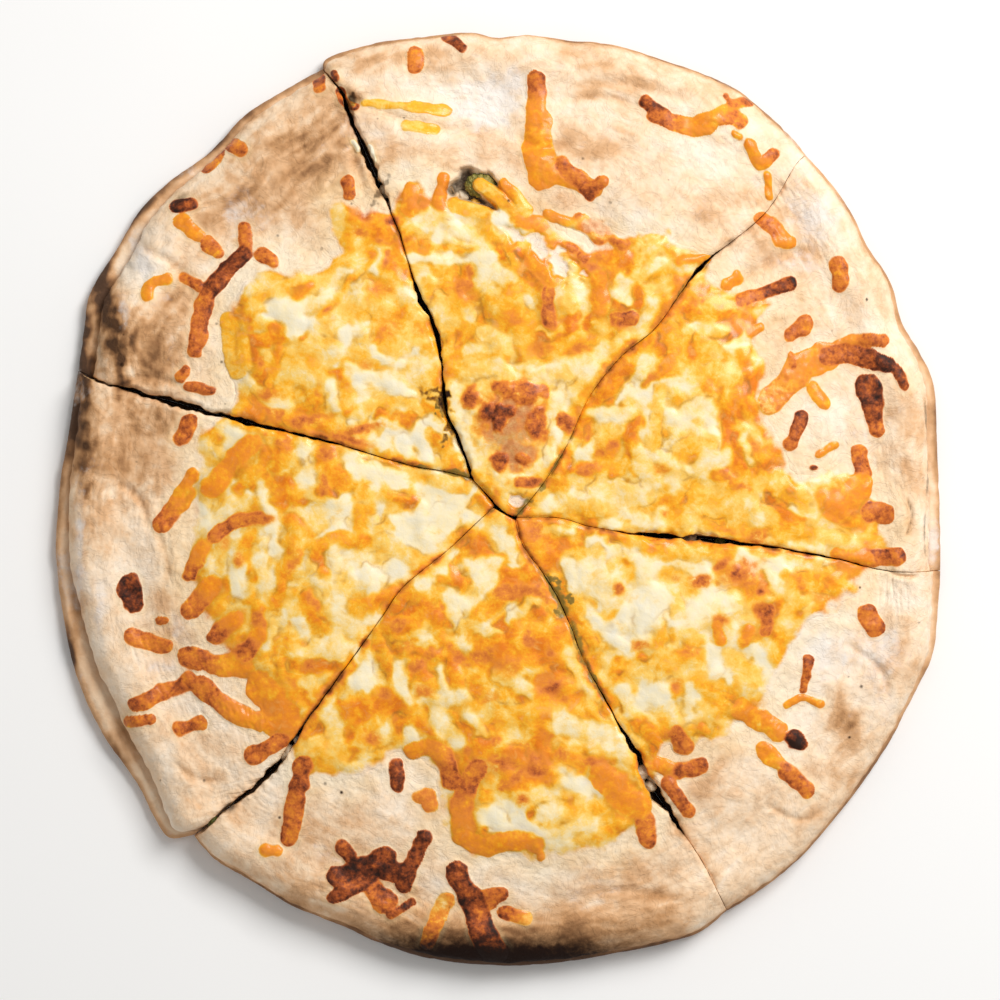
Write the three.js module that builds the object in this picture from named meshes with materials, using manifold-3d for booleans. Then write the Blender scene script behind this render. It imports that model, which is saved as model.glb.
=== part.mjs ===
// A round filled flatbread, baked with shredded cheese on top and cut into six slices
// that still lie together. Each slice has a lower round of dough, a filling of chicken,
// broccoli and cheese, an upper round of dough with its raised rim, and a blanket of
// melted cheese. Millimetres, +Z up, the underside rests on Z = 0, and the slices'
// sides, rims and shreds are given as [x, y] seen from above.
import * as THREE from "three";
import { mergeVertices } from "three/addons/utils/BufferGeometryUtils.js";
import Module from "manifold-3d";

const wasm = await Module();
wasm.setup();

// Driving dimensions
const BASE_THICK = 4.6; // lower round of dough
const POCKET_DEPTH = 7.0; // room for the filling between the two rounds
const CHEESE_THICK = 1.7; // melted blanket
const CHEESE_EDGE = 0.7; // the blanket's thickness where it thins out
const LAYER_GAP = 0.3; // between two layers that touch
const CHEESE_CLEAR = 0.5; // a browned shred on the crust stops this far from the blanket
const ROOM_ABOVE = 8; // height of the room kept for the blanket over the dough
const ROOM_BELOW = 3; // and its depth into the dough
const TIP_TRIM = 3.0; // the slices' points stop this far short of the middle
const POCKET_MARGIN = 17; // the two rounds are pressed together this far in from the edge
const POCKET_RAMP = [24, 33, 45]; // distances from the edge over which the pocket opens
const SETTLE_WIDTH = 12; // the lid's bubbles and folds fade out over this much at its edge
const SEAL_THICK = 1.4; // room left where the pocket ends
const FILLING_EDGE = 0.8; // the filling's thickness there
const LIP_INNER = 9; // the lower round starts to curl up this far in from its edge
const LIP_ROUND = 2.5; // and its edge rolls under by this much
const LIP_TOP = 5.0; // height of the lower round's lip outside the lid
const LIP_MIDDLE = 2.8; // height where the lip's edge is widest
const LID_UNDERCUT = 1.5; // the upper round's edge is rounded under by this much
const LID_EDGE_UNDER = 5.4; // underside of the upper round at its edge
const SHRED_RISE = 1.5; // a browned shred stands this high
const SHRED_SINK = 1.2; // and is baked this deep into the dough
const SHRED_STEP = 5; // a shred bends to the surface about this often
const SHRED_END = 0.5; // a shred's width and height at its ends, as a share
const SHRED_BACK = 0.55; // width of a shred's flat back, as a share
const CHEESE_SHRED_RISE = 1.1;
const CHEESE_SHRED_SINK = 0.6;
const CHEESE_SHREDS = 5; // shreds whose outline still shows in each slice's blanket
const CHEESE_SHRED_LENGTH = [4, 8];
const CHEESE_SHRED_WIDTH = [3.6, 5];
const CHEESE_SHRED_SEED = 11;
const VENT = { x: -4.5, y: 84.5, halfLength: 7.2, halfWidth: 4.4, turn: 0.1, floor: 10.6 };
const FLORET = {
  x: -5.2,
  y: 84.6,
  z: 14.6,
  middleRadius: 2.415,
  lobeRadius: 1.575,
  lobes: 5,
  spread: { x: 1.95, y: 1.2 }, // the lobes' distances from the middle
  nearer: 0.85, // every other lobe stands closer in, by this share
  step: 0.5, // and the lobes stand at heights this far apart
};

// Height of the upper round's surface against the distance from its own edge
const LID_PROFILE = [
  [0, 7.0],
  [1.6, 10.2],
  [5, 12.6],
  [9, 13.1],
  [15, 12.2],
  [25, 14.2],
  [42, 16.2],
  [75, 17.0],
  [140, 16.6],
];

// The grids' rows and columns
const COLUMNS = 12;
const CHEESE_ROWS = 8;
const RIM_DISTANCES = [1.6, 5, 10, 16, 24]; // rows of the lid near its edge
const RIM_ROWS = 8;
const POCKET_ROWS = 4;
const BASE_ROWS = 5;
const VENT_SEGMENTS = 6;
const SIDE_SAMPLES = 60;

// The knife's cuts, from the middle out: the centre line, and the width every eighth of it
const WEST_TIP = [-7.5, 5.5];
const SOUTH_TIP = [-1, -2];
const HUB = [4.2, -5];
const CUTS = {
  northwest: {
    line: [
      WEST_TIP, [-10.5, 15], [-14, 24], [-16.5, 42.5], [-20.5, 53], [-24, 62.5],
      [-27, 72], [-31, 82], [-39, 100.5], [-43, 110], [-48, 117],
    ],
    width: [0.9, 2.4, 1.5, 1.5, 0.9, 2.6, 1.5, 2.0, 1.5],
  },
  west: {
    line: [
      WEST_TIP, [-12.5, 7], [-25.5, 9.5], [-47.5, 16], [-61, 19], [-80, 24],
      [-99.5, 29.5], [-106.5, 31], [-114.5, 35],
    ],
    width: [0.9, 1.2, 1.6, 1.6, 1.5, 1.5, 2.2, 2.8, 1.5],
  },
  southwest: {
    line: [
      SOUTH_TIP, [-5, -5.5], [-14, -14], [-25.5, -23.5], [-32, -32.5], [-43.5, -48.5],
      [-51, -58.5], [-55.5, -65.5], [-64, -76], [-72.5, -83], [-83, -91.5],
    ],
    width: [0.9, 0.9, 0.9, 1.0, 1.2, 1.5, 3.4, 1.8, 1.6],
  },
  south: {
    line: [
      HUB, [6.5, -12.5], [13.5, -22.5], [19, -33.5], [23, -44], [30, -56.5],
      [36.5, -68], [42.5, -80], [54, -96.5], [59.5, -107], [62, -112],
    ],
    width: [0.9, 1.4, 1.0, 1.2, 1.2, 2.0, 3.4, 0.9, 0.9],
  },
  east: {
    line: [
      HUB, [15.5, -5], [25, -7.5], [38, -9.5], [51.5, -10.5], [62.5, -11.5], [74, -13],
      [90, -16], [105.5, -19.5], [120, -19.5],
    ],
    width: [0.9, 0.9, 1.2, 2.4, 2.2, 1.2, 1.4, 1.0, 1.0],
  },
  northeast: {
    line: [
      HUB, [9, 0.5], [14.5, 8], [19, 16], [24, 27], [32.5, 38], [42.5, 46.5],
      [53.5, 61.5], [68.5, 74], [74, 80], [80, 90], [83.5, 93.5],
    ],
    width: [0.9, 0.9, 0.9, 0.9, 1.0, 1.6, 1.0, 0.9, 0.9],
  },
};

// The slices, counterclockwise. start and end are the sides, from the middle out, and rim is
// the edge between them. lip is how far the lower round reaches past the upper one, reach is
// the cheese's share of the way to the rim, both at even steps from start to end. A bump is
// [x, y, radius, height]. A shred is [width, x, y, x, y, ...].
const SLICES = [
  {
    name: "top",
    start: { cut: "northeast", turn: 1, before: [] },
    end: { cut: "northwest", turn: -1, before: [HUB, SOUTH_TIP] },
    rim: [
      [78.5, 99.5], [68, 109], [60.5, 113.5], [52, 117], [35, 122.5], [26, 124.3], [20, 124.5],
      [9, 126.3], [-1, 125.6], [-8, 127], [-17.5, 126], [-27.5, 125], [-36, 123.5], [-46.5, 120],
    ],
    lip: [1, 1, 1, 1.5],
    reach: [0.69, 0.62, 0.61, 0.6, 0.61, 0.66, 0.69],
    lift: 1.2,
    bumps: [
      [1.5, 21, 12, 2.2], [40, 88, 20, 2.4], [-5, 106, 11, -2.2], [14, 60, 16, 1.0],
      [-26, 98, 12, 1.2], [60, 100, 9, 1.2],
    ],
    shreds: [
      [5, -22.5, 121, -22.5, 116.5], [3.6, -15.5, 125, -9, 121.5],
      [6.4, 9.5, 114.5, 10, 104, 11.5, 88], [5.5, 39, 107, 46, 103, 66, 102.5],
      [4, 61, 102.5, 66, 106], [5, 67.5, 95, 73, 90], [3, 72.5, 86.5, 71, 81],
      [6.5, 15, 91, 27, 82.5], [5.5, 23, 76.5, 30, 73.5], [3.4, -24, 107, -41, 109],
    ],
  },
  {
    name: "left_upper",
    start: { cut: "northwest", turn: 1, before: [] },
    end: { cut: "west", turn: -1, before: [] },
    rim: [
      [-59.5, 110.5], [-69.5, 104], [-75.5, 97.5], [-82, 91.8], [-89.5, 86.5], [-98, 78],
      [-104.5, 67], [-111, 56.5], [-113, 45.5],
    ],
    lip: [2, 2.5, 4.5, 5],
    reach: [0.64, 0.66, 0.6, 0.68, 0.69, 0.63, 0.6],
    lift: 0.4,
    bumps: [[-92, 45, 13, 2.6], [-96, 60, 8, -1.6], [-45, 50, 18, 1.2], [-66, 86, 12, 1.0]],
    shreds: [
      [5, -79.5, 89, -75.5, 93.5, -68.5, 95], [4.2, -49.5, 113.5, -49, 110],
      [4.5, -87, 78, -83.5, 81], [4.5, -87, 75.5, -81, 71], [4.5, -80, 69.5, -75.5, 66],
      [5, -69.5, 73.5, -67.5, 67], [6, -69.5, 64.5, -78.5, 53.5], [5.5, -80.5, 51, -82, 39.5],
      [4.5, -86, 61, -80, 57.5], [5, -96, 54.5, -89.5, 59.5], [4.2, -87, 32.5, -85, 36],
    ],
  },
  {
    name: "left_lower",
    start: { cut: "west", turn: 1, before: [SOUTH_TIP] },
    end: { cut: "southwest", turn: -1, before: [] },
    rim: [
      [-117, 18], [-119.5, 3], [-120.5, -16.5], [-118.5, -31.5], [-115, -48], [-108, -63.5],
      [-99.5, -76], [-94, -86], [-90, -92],
    ],
    lip: [2, 4, 7.5, 2.5],
    reach: [0.67, 0.66, 0.65, 0.67, 0.66, 0.65, 0.66],
    lift: -0.4,
    bumps: [[-60, -20, 16, 1.0], [-40, -2, 14, 0.8], [-98, -10, 12, 1.0], [-82, -70, 12, 1.0]],
    shreds: [
      [6.5, -100.5, -22, -97.5, -28.5], [4.5, -100.5, -36, -89, -40.5],
      [6, -86.5, -41, -77, -45], [5.5, -84.5, -48, -98, -55.5], [6.5, -82.5, -48.5, -67, -61],
      [4, -100, -60, -93.5, -59], [5, -86, -59.5, -80, -63], [4.5, -70, -71.5, -63.5, -68],
      [5.5, -88, 15, -84.5, 19.5], [5.5, -93, -8.5, -86, 3],
    ],
  },
  {
    name: "bottom",
    start: { cut: "southwest", turn: 1, before: [] },
    end: { cut: "south", turn: -1, before: [] },
    rim: [
      [-78, -97.5], [-68, -103.5], [-56.5, -110.5], [-41.5, -116.5], [-32, -121],
      [-18.5, -125], [1, -127], [16.5, -126], [29.5, -124], [46.5, -120.5], [55, -117.5],
    ],
    lip: [1, 1.5, 1.5, 1],
    reach: [0.67, 0.65, 0.62, 0.66, 0.62, 0.66, 0.7],
    lift: 0.6,
    bumps: [[5, -45, 18, 1.2], [-20, -30, 12, 0.8], [20, -90, 16, 1.2], [-45, -92, 14, 0.8]],
    shreds: [
      [5, -53, -76, -58, -92.5], [4.6, -43.5, -93.5, -39.5, -96],
      [6.5, -44, -101, -33, -96.5], [5.5, -19.5, -91.5, -25.5, -99.5],
      [5, -36.5, -104, -29.5, -110], [3.8, -24, -107.5, -19, -105],
      [8, -12, -98, -7, -109, -2.5, -121], [4, -0.5, -107, 3, -103],
      [4, 4, -112.5, 10, -113], [5.5, -16, -110, -21.5, -119.5],
    ],
  },
  {
    name: "right_lower",
    start: { cut: "south", turn: 1, before: [] },
    end: { cut: "east", turn: -1, before: [] },
    rim: [
      [70, -107], [81, -98.5], [92, -86], [100, -75.5], [106.5, -65.5], [113, -53],
      [118, -42], [119.5, -28.5],
    ],
    lip: [1, 1, 1.5, 2.5],
    reach: [0.63, 0.64, 0.66, 0.67, 0.68, 0.74, 0.8],
    lift: -0.2,
    bumps: [[50, -38, 16, 1.2], [30, -18, 10, 0.8], [80, -75, 14, 1.0], [98, -45, 12, 0.8]],
    shreds: [
      [5.5, 98.5, -31, 102.5, -34.5], [4, 84.5, -43, 83, -51], [4, 79.5, -55, 86.5, -57],
      [5, 93, -53.5, 92, -63], [4.6, 78.5, -66, 82, -66], [5.5, 70, -68.5, 84, -80],
      [5, 52, -74, 58.5, -74.5], [5.5, 50, -79.5, 54, -85],
    ],
  },
  {
    name: "right_upper",
    start: { cut: "east", turn: 1, before: [] },
    end: { cut: "northeast", turn: -1, before: [] },
    rim: [
      [120, -3], [119.5, 7.5], [118.5, 29], [115, 39], [109.5, 48], [106.5, 59],
      [100, 69], [96, 77.5], [90.5, 85.5],
    ],
    lip: [3.5, 3, 1, 1],
    reach: [0.8, 0.8, 0.63, 0.61, 0.63, 0.68, 0.64],
    lift: 0,
    bumps: [[68, 60, 9, -1.6], [50, 16, 18, 1.4], [60, 34, 12, 1.0], [96, 62, 12, 0.8]],
    shreds: [
      [5, 71.5, 75.5, 77, 69.5], [5.5, 91.5, 64, 92, 57.5], [4.8, 79.5, 43.5, 83.5, 47.5],
      [6, 80.5, 34, 88, 39.5, 100, 40.5, 108, 33], [6.5, 98, 31, 102.5, 23],
      [4.6, 82, 23, 79.5, 15], [5, 101, 14, 99, 8],
    ],
  },
];

const smooth = (t) => t * t * (3 - 2 * t);
const mix = (a, b, t) => a + (b - a) * t;

// A value of a list whose entries stand at even steps over 0 to 1
function along(list, t) {
  const place = THREE.MathUtils.clamp(t, 0, 1) * (list.length - 1);
  const low = Math.min(Math.floor(place), list.length - 2);
  return mix(list[low], list[low + 1], place - low);
}

// A value of a profile of [distance, value] pairs, eased between them
function profileAt(profile, distance) {
  const next = profile.findIndex(([place]) => place >= distance);
  if (next < 0) return profile.at(-1)[1];
  if (next === 0) return profile[0][1];
  const [from, low] = profile[next - 1];
  const [to, high] = profile[next];
  return mix(low, high, smooth((distance - from) / (to - from)));
}

const curveThrough = (points) =>
  new THREE.SplineCurve(points.map(([x, y]) => new THREE.Vector2(x, y)));

// One side of a slice: the cut's centre line moved into the slice by half the cut's width.
// turn is +1 where the slice lies counterclockwise of the cut, and -1 where it lies clockwise.
function sideOf({ cut, turn, before }) {
  const { line, width } = CUTS[cut];
  const centre = curveThrough([...before, ...line]);
  const trim = TIP_TRIM / centre.getLength();
  return Array.from({ length: SIDE_SAMPLES + 1 }, (_, i) => {
    const t = mix(trim, 1, i / SIDE_SAMPLES);
    const ahead = centre.getTangentAt(t);
    const half = along(width, t) / 2;
    return centre
      .getPointAt(t)
      .add(new THREE.Vector2(-ahead.y, ahead.x).multiplyScalar(turn * half));
  });
}

// A point of a sampled line, at a share of its length
function onLine(points, t) {
  const place = THREE.MathUtils.clamp(t, 0, 1) * (points.length - 1);
  const low = Math.min(Math.floor(place), points.length - 2);
  return points[low].clone().lerp(points[low + 1], place - low);
}

// The plan of a slice: point(u, distance) is the point at share u from its start side to its
// end side, at a distance from the rim, and length(u) is the way from its tip to the rim.
// It is the surface patch spanned by the two sides, the rim and the blunt tip.
function planOf(slice) {
  const start = sideOf(slice.start);
  const end = sideOf(slice.end);
  const rim = curveThrough([
    start.at(-1).toArray(),
    ...slice.rim,
    end.at(-1).toArray(),
  ]).getSpacedPoints(SIDE_SAMPLES);
  const tip = (u) => start[0].clone().lerp(end[0], u);
  const length = (u) => onLine(rim, u).distanceTo(tip(u));
  const point = (u, distance) => {
    const v = 1 - distance / length(u);
    const across = onLine(start, v).lerp(onLine(end, v), u);
    const outward = tip(u).lerp(onLine(rim, u), v);
    const corners = tip(u).lerp(start.at(-1).clone().lerp(end.at(-1), u), v);
    return across.add(outward).sub(corners);
  };
  return { point, length };
}

const lipAt = (slice, u) => along(slice.lip, u);

// Height of the upper round's surface, with its slice's lift and its bubbles and folds
function lidHeight(slice, u, place, distance) {
  const fromEdge = distance - lipAt(slice, u);
  const settled = smooth(THREE.MathUtils.clamp(fromEdge / SETTLE_WIDTH, 0, 1));
  const bumps = slice.bumps.reduce((sum, [x, y, radius, height]) => {
    const away = Math.hypot(place.x - x, place.y - y) / radius;
    return sum + height * Math.exp(-away * away);
  }, 0);
  return profileAt(LID_PROFILE, fromEdge) + settled * (slice.lift + bumps);
}

// Underside of the upper round, over the pocket and out to its edge
function pocketCeiling(distance) {
  const open = (distance - POCKET_MARGIN) / (POCKET_RAMP.at(-1) - POCKET_MARGIN);
  const depth = mix(SEAL_THICK, POCKET_DEPTH, smooth(THREE.MathUtils.clamp(open, 0, 1)));
  return BASE_THICK + depth;
}

// A grid of points: rows(u) gives the distances from the rim, tip first, and height the Z
function gridOf(plan, columns, rows, height) {
  return Array.from({ length: columns + 1 }, (_, i) => {
    const u = i / columns;
    return rows(u).map((distance, row) => {
      const place = plan.point(u, distance);
      return new THREE.Vector3(place.x, place.y, height(u, place, distance, row));
    });
  });
}

// Rows over the pocket, from the tip to where the two rounds are pressed together
function pocketRows(length) {
  const inner = POCKET_RAMP.at(-1);
  const even = Array.from({ length: POCKET_ROWS + 1 }, (_, i) =>
    mix(length, inner, i / POCKET_ROWS),
  );
  return [...even, POCKET_RAMP[1], POCKET_RAMP[0], POCKET_MARGIN];
}

// Triangles of a grid, facing up; the diagonals all run the same way
function gridFaces(grid, faces, upward) {
  for (let i = 0; i + 1 < grid.length; i++) {
    for (let j = 0; j + 1 < grid[i].length; j++) {
      const [a, b, c, d] = [grid[i][j], grid[i][j + 1], grid[i + 1][j + 1], grid[i + 1][j]];
      faces.push(...(upward ? [a, b, c, a, c, d] : [a, c, b, a, d, c]));
    }
  }
}

// The grid's border, once round: out along the first column, across the last row, back in
// along the last column and across the first row
function borderOf(grid) {
  const last = grid.length - 1;
  const far = grid[0].length - 1;
  return [
    ...grid[0],
    ...grid.slice(1).map((column) => column[far]),
    ...grid[last].slice(0, far).reverse(),
    ...grid.slice(1, last).reverse().map((column) => column[0]),
  ];
}

// A closed solid between an upper and a lower grid. The lower grid has the same number of
// rows and columns, or half as many.
function solidBetween(upper, lower) {
  const faces = [];
  gridFaces(upper, faces, true);
  gridFaces(lower, faces, false);
  const above = borderOf(upper);
  const below = borderOf(lower);
  const step = above.length / below.length;
  below.forEach((low, k) => {
    const next = below[(k + 1) % below.length];
    const first = above[k * step];
    const middle = above[k * step + (step - 1)];
    const after = above[((k + 1) * step) % above.length];
    if (step > 1) faces.push(first, low, middle);
    faces.push(middle, low, next, middle, next, after);
  });
  return solidOfFaces(faces);
}

// A closed solid from its triangles' corners, three in a row for each
function solidOfFaces(corners) {
  const positions = new Float32Array(corners.flatMap((p) => p.toArray()));
  const geometry = new THREE.BufferGeometry();
  geometry.setAttribute("position", new THREE.BufferAttribute(positions, 3));
  return manifoldOf(geometry);
}

// A closed geometry as a solid that can be joined and cut
function manifoldOf(geometry) {
  const bare = geometry.clone();
  bare.deleteAttribute("normal");
  bare.deleteAttribute("uv");
  const merged = mergeVertices(bare, 1e-4);
  return new wasm.Manifold(
    new wasm.Mesh({
      numProp: 3,
      vertProperties: merged.attributes.position.array,
      triVerts: new Uint32Array(merged.index.array),
    }),
  );
}

// A solid as a drawable geometry with flat faces
function geometryOf(solid) {
  const { numProp, vertProperties, triVerts } = solid.getMesh();
  const positions = new Float32Array(triVerts.length * 3);
  triVerts.forEach((vertex, i) => {
    const from = vertex * numProp;
    positions.set(vertProperties.subarray(from, from + 3), i * 3);
  });
  const geometry = new THREE.BufferGeometry();
  geometry.setAttribute("position", new THREE.BufferAttribute(positions, 3));
  geometry.computeVertexNormals();
  return geometry;
}

// Height of a grid's surface at a place, or null where the place lies off the grid
function heightOn(grid, x, y) {
  const place = new THREE.Vector3(x, y, 0);
  const flat = (p) => new THREE.Vector3(p.x, p.y, 0);
  for (let i = 0; i + 1 < grid.length; i++) {
    for (let j = 0; j + 1 < grid[i].length; j++) {
      const [a, b, c, d] = [grid[i][j], grid[i][j + 1], grid[i + 1][j + 1], grid[i + 1][j]];
      for (const corners of [[a, b, c], [a, c, d]]) {
        const share = new THREE.Vector3();
        const inside = THREE.Triangle.getBarycoord(place, ...corners.map(flat), share);
        if (inside && share.x >= 0 && share.y >= 0 && share.z >= 0) {
          return corners.reduce((sum, p, k) => sum + p.z * share.getComponent(k), 0);
        }
      }
    }
  }
  return null;
}

// A melted shred: a low loaf along a curve that follows the surface under it
function shredOn(grid, [width, ...numbers], rise, sink) {
  const points = [];
  for (let i = 0; i < numbers.length; i += 2) points.push([numbers[i], numbers[i + 1]]);
  const curve = curveThrough(points);
  const spans = Math.max(2, Math.ceil(curve.getLength() / SHRED_STEP));
  const sections = [];
  for (let i = 0; i <= spans; i++) {
    const centre = curve.getPointAt(i / spans);
    const ahead = curve.getTangentAt(i / spans);
    const z = heightOn(grid, centre.x, centre.y);
    if (z === null) throw new Error(`a shred leaves its slice at ${centre.x}, ${centre.y}`);
    const taper = i === 0 || i === spans ? SHRED_END : 1;
    const half = (width / 2) * taper;
    const corner = (side, height) =>
      new THREE.Vector3(centre.x - ahead.y * side, centre.y + ahead.x * side, z + height);
    sections.push([
      corner(half, -sink),
      corner(-half, -sink),
      corner(-half * SHRED_BACK, rise * taper),
      corner(half * SHRED_BACK, rise * taper),
    ]);
  }
  const faces = [];
  for (let i = 0; i < spans; i++) {
    for (let k = 0; k < 4; k++) {
      const [a, b] = [sections[i][k], sections[i][(k + 1) % 4]];
      const [c, d] = [sections[i + 1][k], sections[i + 1][(k + 1) % 4]];
      faces.push(a, d, b, a, c, d);
    }
  }
  const [first, last] = [sections[0], sections[spans]];
  faces.push(first[0], first[1], first[2], first[0], first[2], first[3]);
  faces.push(last[0], last[2], last[1], last[0], last[3], last[2]);
  return solidOfFaces(faces);
}

// A repeatable random number from 0 to 1
function drawFrom(seed) {
  let state = seed;
  return () => {
    state = (state * 16807) % 2147483647;
    return state / 2147483647;
  };
}

// Lower round of dough: flat below, with a rounded lip outside the upper round
function baseSolid(plan) {
  const lipRows = [LIP_INNER, LIP_ROUND, 0];
  const lipHeights = [BASE_THICK, LIP_TOP, LIP_MIDDLE];
  const upperRows = (u) => [...pocketRows(plan.length(u)), ...lipRows];
  const inner = upperRows(0).length - lipRows.length;
  const upper = gridOf(plan, COLUMNS / 2, upperRows, (u, place, distance, row) =>
    row < inner ? BASE_THICK : lipHeights[row - inner],
  );
  const lowerRows = (u) =>
    Array.from({ length: BASE_ROWS + 1 }, (_, i) =>
      mix(plan.length(u), LIP_ROUND, i / BASE_ROWS),
    );
  const lower = gridOf(plan, COLUMNS / 4, lowerRows, () => 0);
  return solidBetween(upper, lower);
}

// Filling: everything between the two rounds, out to where they are pressed together
function fillingSolid(plan) {
  const rows = (u) => pocketRows(plan.length(u));
  const floor = BASE_THICK + LAYER_GAP;
  const ceiling = (u, place, distance) =>
    distance > POCKET_MARGIN
      ? pocketCeiling(distance) - LAYER_GAP
      : floor + FILLING_EDGE;
  const upper = gridOf(plan, COLUMNS / 2, rows, ceiling);
  const lower = gridOf(plan, COLUMNS / 2, rows, () => floor);
  return solidBetween(upper, lower);
}

// The upper round's surface: rows over the cheese's reach, then rows down over the rim
function lidGrid(plan, slice) {
  const rows = (u) => {
    const length = plan.length(u);
    const edge = lipAt(slice, u);
    const border = length * (1 - along(slice.reach, u));
    const inner = Array.from({ length: CHEESE_ROWS }, (_, i) =>
      mix(length, border, i / CHEESE_ROWS),
    );
    const rim = RIM_DISTANCES.map((distance) => distance + edge).reverse();
    const slope = RIM_ROWS - RIM_DISTANCES.length;
    const outer = Array.from({ length: slope }, (_, i) => mix(border, rim[0], i / slope));
    return [...inner, ...outer, ...rim, edge];
  };
  return gridOf(plan, COLUMNS, rows, (u, place, distance) =>
    lidHeight(slice, u, place, distance),
  );
}

// The room that the cheese takes over the upper round, a little past its outer border
function cheeseRoom(plan, slice, surface) {
  const wider = surface.map((column, i) => {
    const u = i / COLUMNS;
    const border = plan.length(u) * (1 - along(slice.reach, u)) - LAYER_GAP - CHEESE_CLEAR;
    const { x, y } = plan.point(u, border);
    const outer = column[CHEESE_ROWS];
    return [...column.slice(0, CHEESE_ROWS), new THREE.Vector3(x, y, outer.z)];
  });
  const moved = (by) => wider.map((column) => column.map((p) => p.clone().setZ(p.z + by)));
  return solidBetween(moved(ROOM_ABOVE), moved(-ROOM_BELOW));
}

// Upper round of dough, with the browned shreds that lie on its bare crust
function lidSolid(plan, slice, surface) {
  const rows = (u) => [...pocketRows(plan.length(u)), lipAt(slice, u) + LID_UNDERCUT];
  const edgeRow = rows(0).length - 1;
  const lower = gridOf(plan, COLUMNS / 2, rows, (u, place, distance, row) =>
    row < edgeRow ? pocketCeiling(distance) : LID_EDGE_UNDER,
  );
  const room = cheeseRoom(plan, slice, surface);
  const shreds = slice.shreds.map((shred) =>
    shredOn(surface, shred, SHRED_RISE, SHRED_SINK).subtract(room),
  );
  return shreds.reduce((whole, shred) => whole.add(shred), solidBetween(surface, lower));
}

// Melted cheese blanket over the slice's inner part, thin at its outer border, with the
// outlines of a few shreds standing in it
function cheeseSolid(plan, slice, surface, seed) {
  const covered = surface.map((column) => column.slice(0, CHEESE_ROWS + 1));
  const lifted = (by) =>
    covered.map((column, i) =>
      column.map((p, j) => p.clone().setZ(p.z + by(i, j))),
    );
  const thickness = (i, j) => {
    const inward = Math.min(1, (CHEESE_ROWS - j) / 2);
    return mix(CHEESE_EDGE, CHEESE_THICK, inward);
  };
  const upper = lifted((i, j) => LAYER_GAP + thickness(i, j));
  const blanket = solidBetween(upper, lifted(() => LAYER_GAP));
  const draw = drawFrom(seed);
  const drawRow = (first, last) => first + Math.floor(draw() * (last - first));
  const shreds = [];
  for (let k = 0; k < CHEESE_SHREDS; k++) {
    const column = drawRow(2, COLUMNS - 2);
    const row = drawRow(3, CHEESE_ROWS - 2);
    const from = upper[column][row];
    const angle = draw() * Math.PI;
    const reach = mix(...CHEESE_SHRED_LENGTH, draw());
    const to = [from.x + reach * Math.cos(angle), from.y + reach * Math.sin(angle)];
    if (heightOn(upper, ...to) === null) continue;
    const shred = [mix(...CHEESE_SHRED_WIDTH, draw()), from.x, from.y, ...to];
    shreds.push(shredOn(upper, shred, CHEESE_SHRED_RISE, CHEESE_SHRED_SINK));
  }
  return shreds.reduce((whole, shred) => whole.add(shred), blanket);
}

// The opening in the top slice's upper round where the filling shows
function ventSolid() {
  const outline = new THREE.Shape();
  outline.absellipse(0, 0, VENT.halfLength, VENT.halfWidth, 0, 2 * Math.PI);
  const well = new THREE.ExtrudeGeometry(outline, {
    depth: ROOM_ABOVE + VENT.floor,
    bevelEnabled: false,
    curveSegments: VENT_SEGMENTS,
  });
  well.rotateZ(VENT.turn).translate(VENT.x, VENT.y, VENT.floor);
  return manifoldOf(well);
}

// A broccoli floret in that opening: small lobes round a middle one
function floretSolid() {
  const { x, y, z, middleRadius, lobeRadius, lobes, spread, nearer, step } = FLORET;
  const lobe = (place, radius, detail) =>
    manifoldOf(new THREE.IcosahedronGeometry(radius, detail).translate(...place));
  let floret = lobe([x, y, z], middleRadius, 1);
  for (let k = 0; k < lobes; k++) {
    const angle = (2 * Math.PI * k) / lobes;
    const share = k % 2 ? nearer : 1;
    const place = [
      x + share * spread.x * Math.cos(angle),
      y + share * spread.y * Math.sin(angle),
      z + step * (k % 3),
    ];
    floret = floret.add(lobe(place, lobeRadius, 0));
  }
  return floret;
}

const material = (color, roughness) =>
  new THREE.MeshStandardMaterial({ color, roughness, metalness: 0 });
const doughUnder = material(0xd9b183, 0.85);
const doughOver = material(0xecc797, 0.8);
const fillings = material(0xa89a72, 0.6);
const cheeses = material(0xf0a238, 0.4);
const broccoli = material(0x6f7a34, 0.7);

const group = new THREE.Group();
function addMesh(name, solid, look) {
  const mesh = new THREE.Mesh(geometryOf(solid), look);
  mesh.name = name;
  group.add(mesh);
}

SLICES.forEach((slice, index) => {
  const plan = planOf(slice);
  const surface = lidGrid(plan, slice);
  const lid = lidSolid(plan, slice, surface);
  addMesh(`base_crust_${slice.name}`, baseSolid(plan), doughUnder);
  addMesh(`filling_${slice.name}`, fillingSolid(plan), fillings);
  addMesh(
    `top_crust_${slice.name}`,
    slice.name === "top" ? lid.subtract(ventSolid()) : lid,
    doughOver,
  );
  const seed = CHEESE_SHRED_SEED + index;
  addMesh(`cheese_${slice.name}`, cheeseSolid(plan, slice, surface, seed), cheeses);
});
addMesh("broccoli_floret", floretSolid(), broccoli);

export default group;
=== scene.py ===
# %% [markdown]
# A round flatbread with a filling, baked under shredded cheese and cut into six slices that
# still lie together. Seen from above, everything that matters is relief and colour on one
# wide, low surface, so this lesson draws a map of that surface first. Each slice is then a
# patch of the map, laid over the same sides and rim that the solid slice has.
# Lengths are millimetres here, and become metres when a mesh is made.

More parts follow.
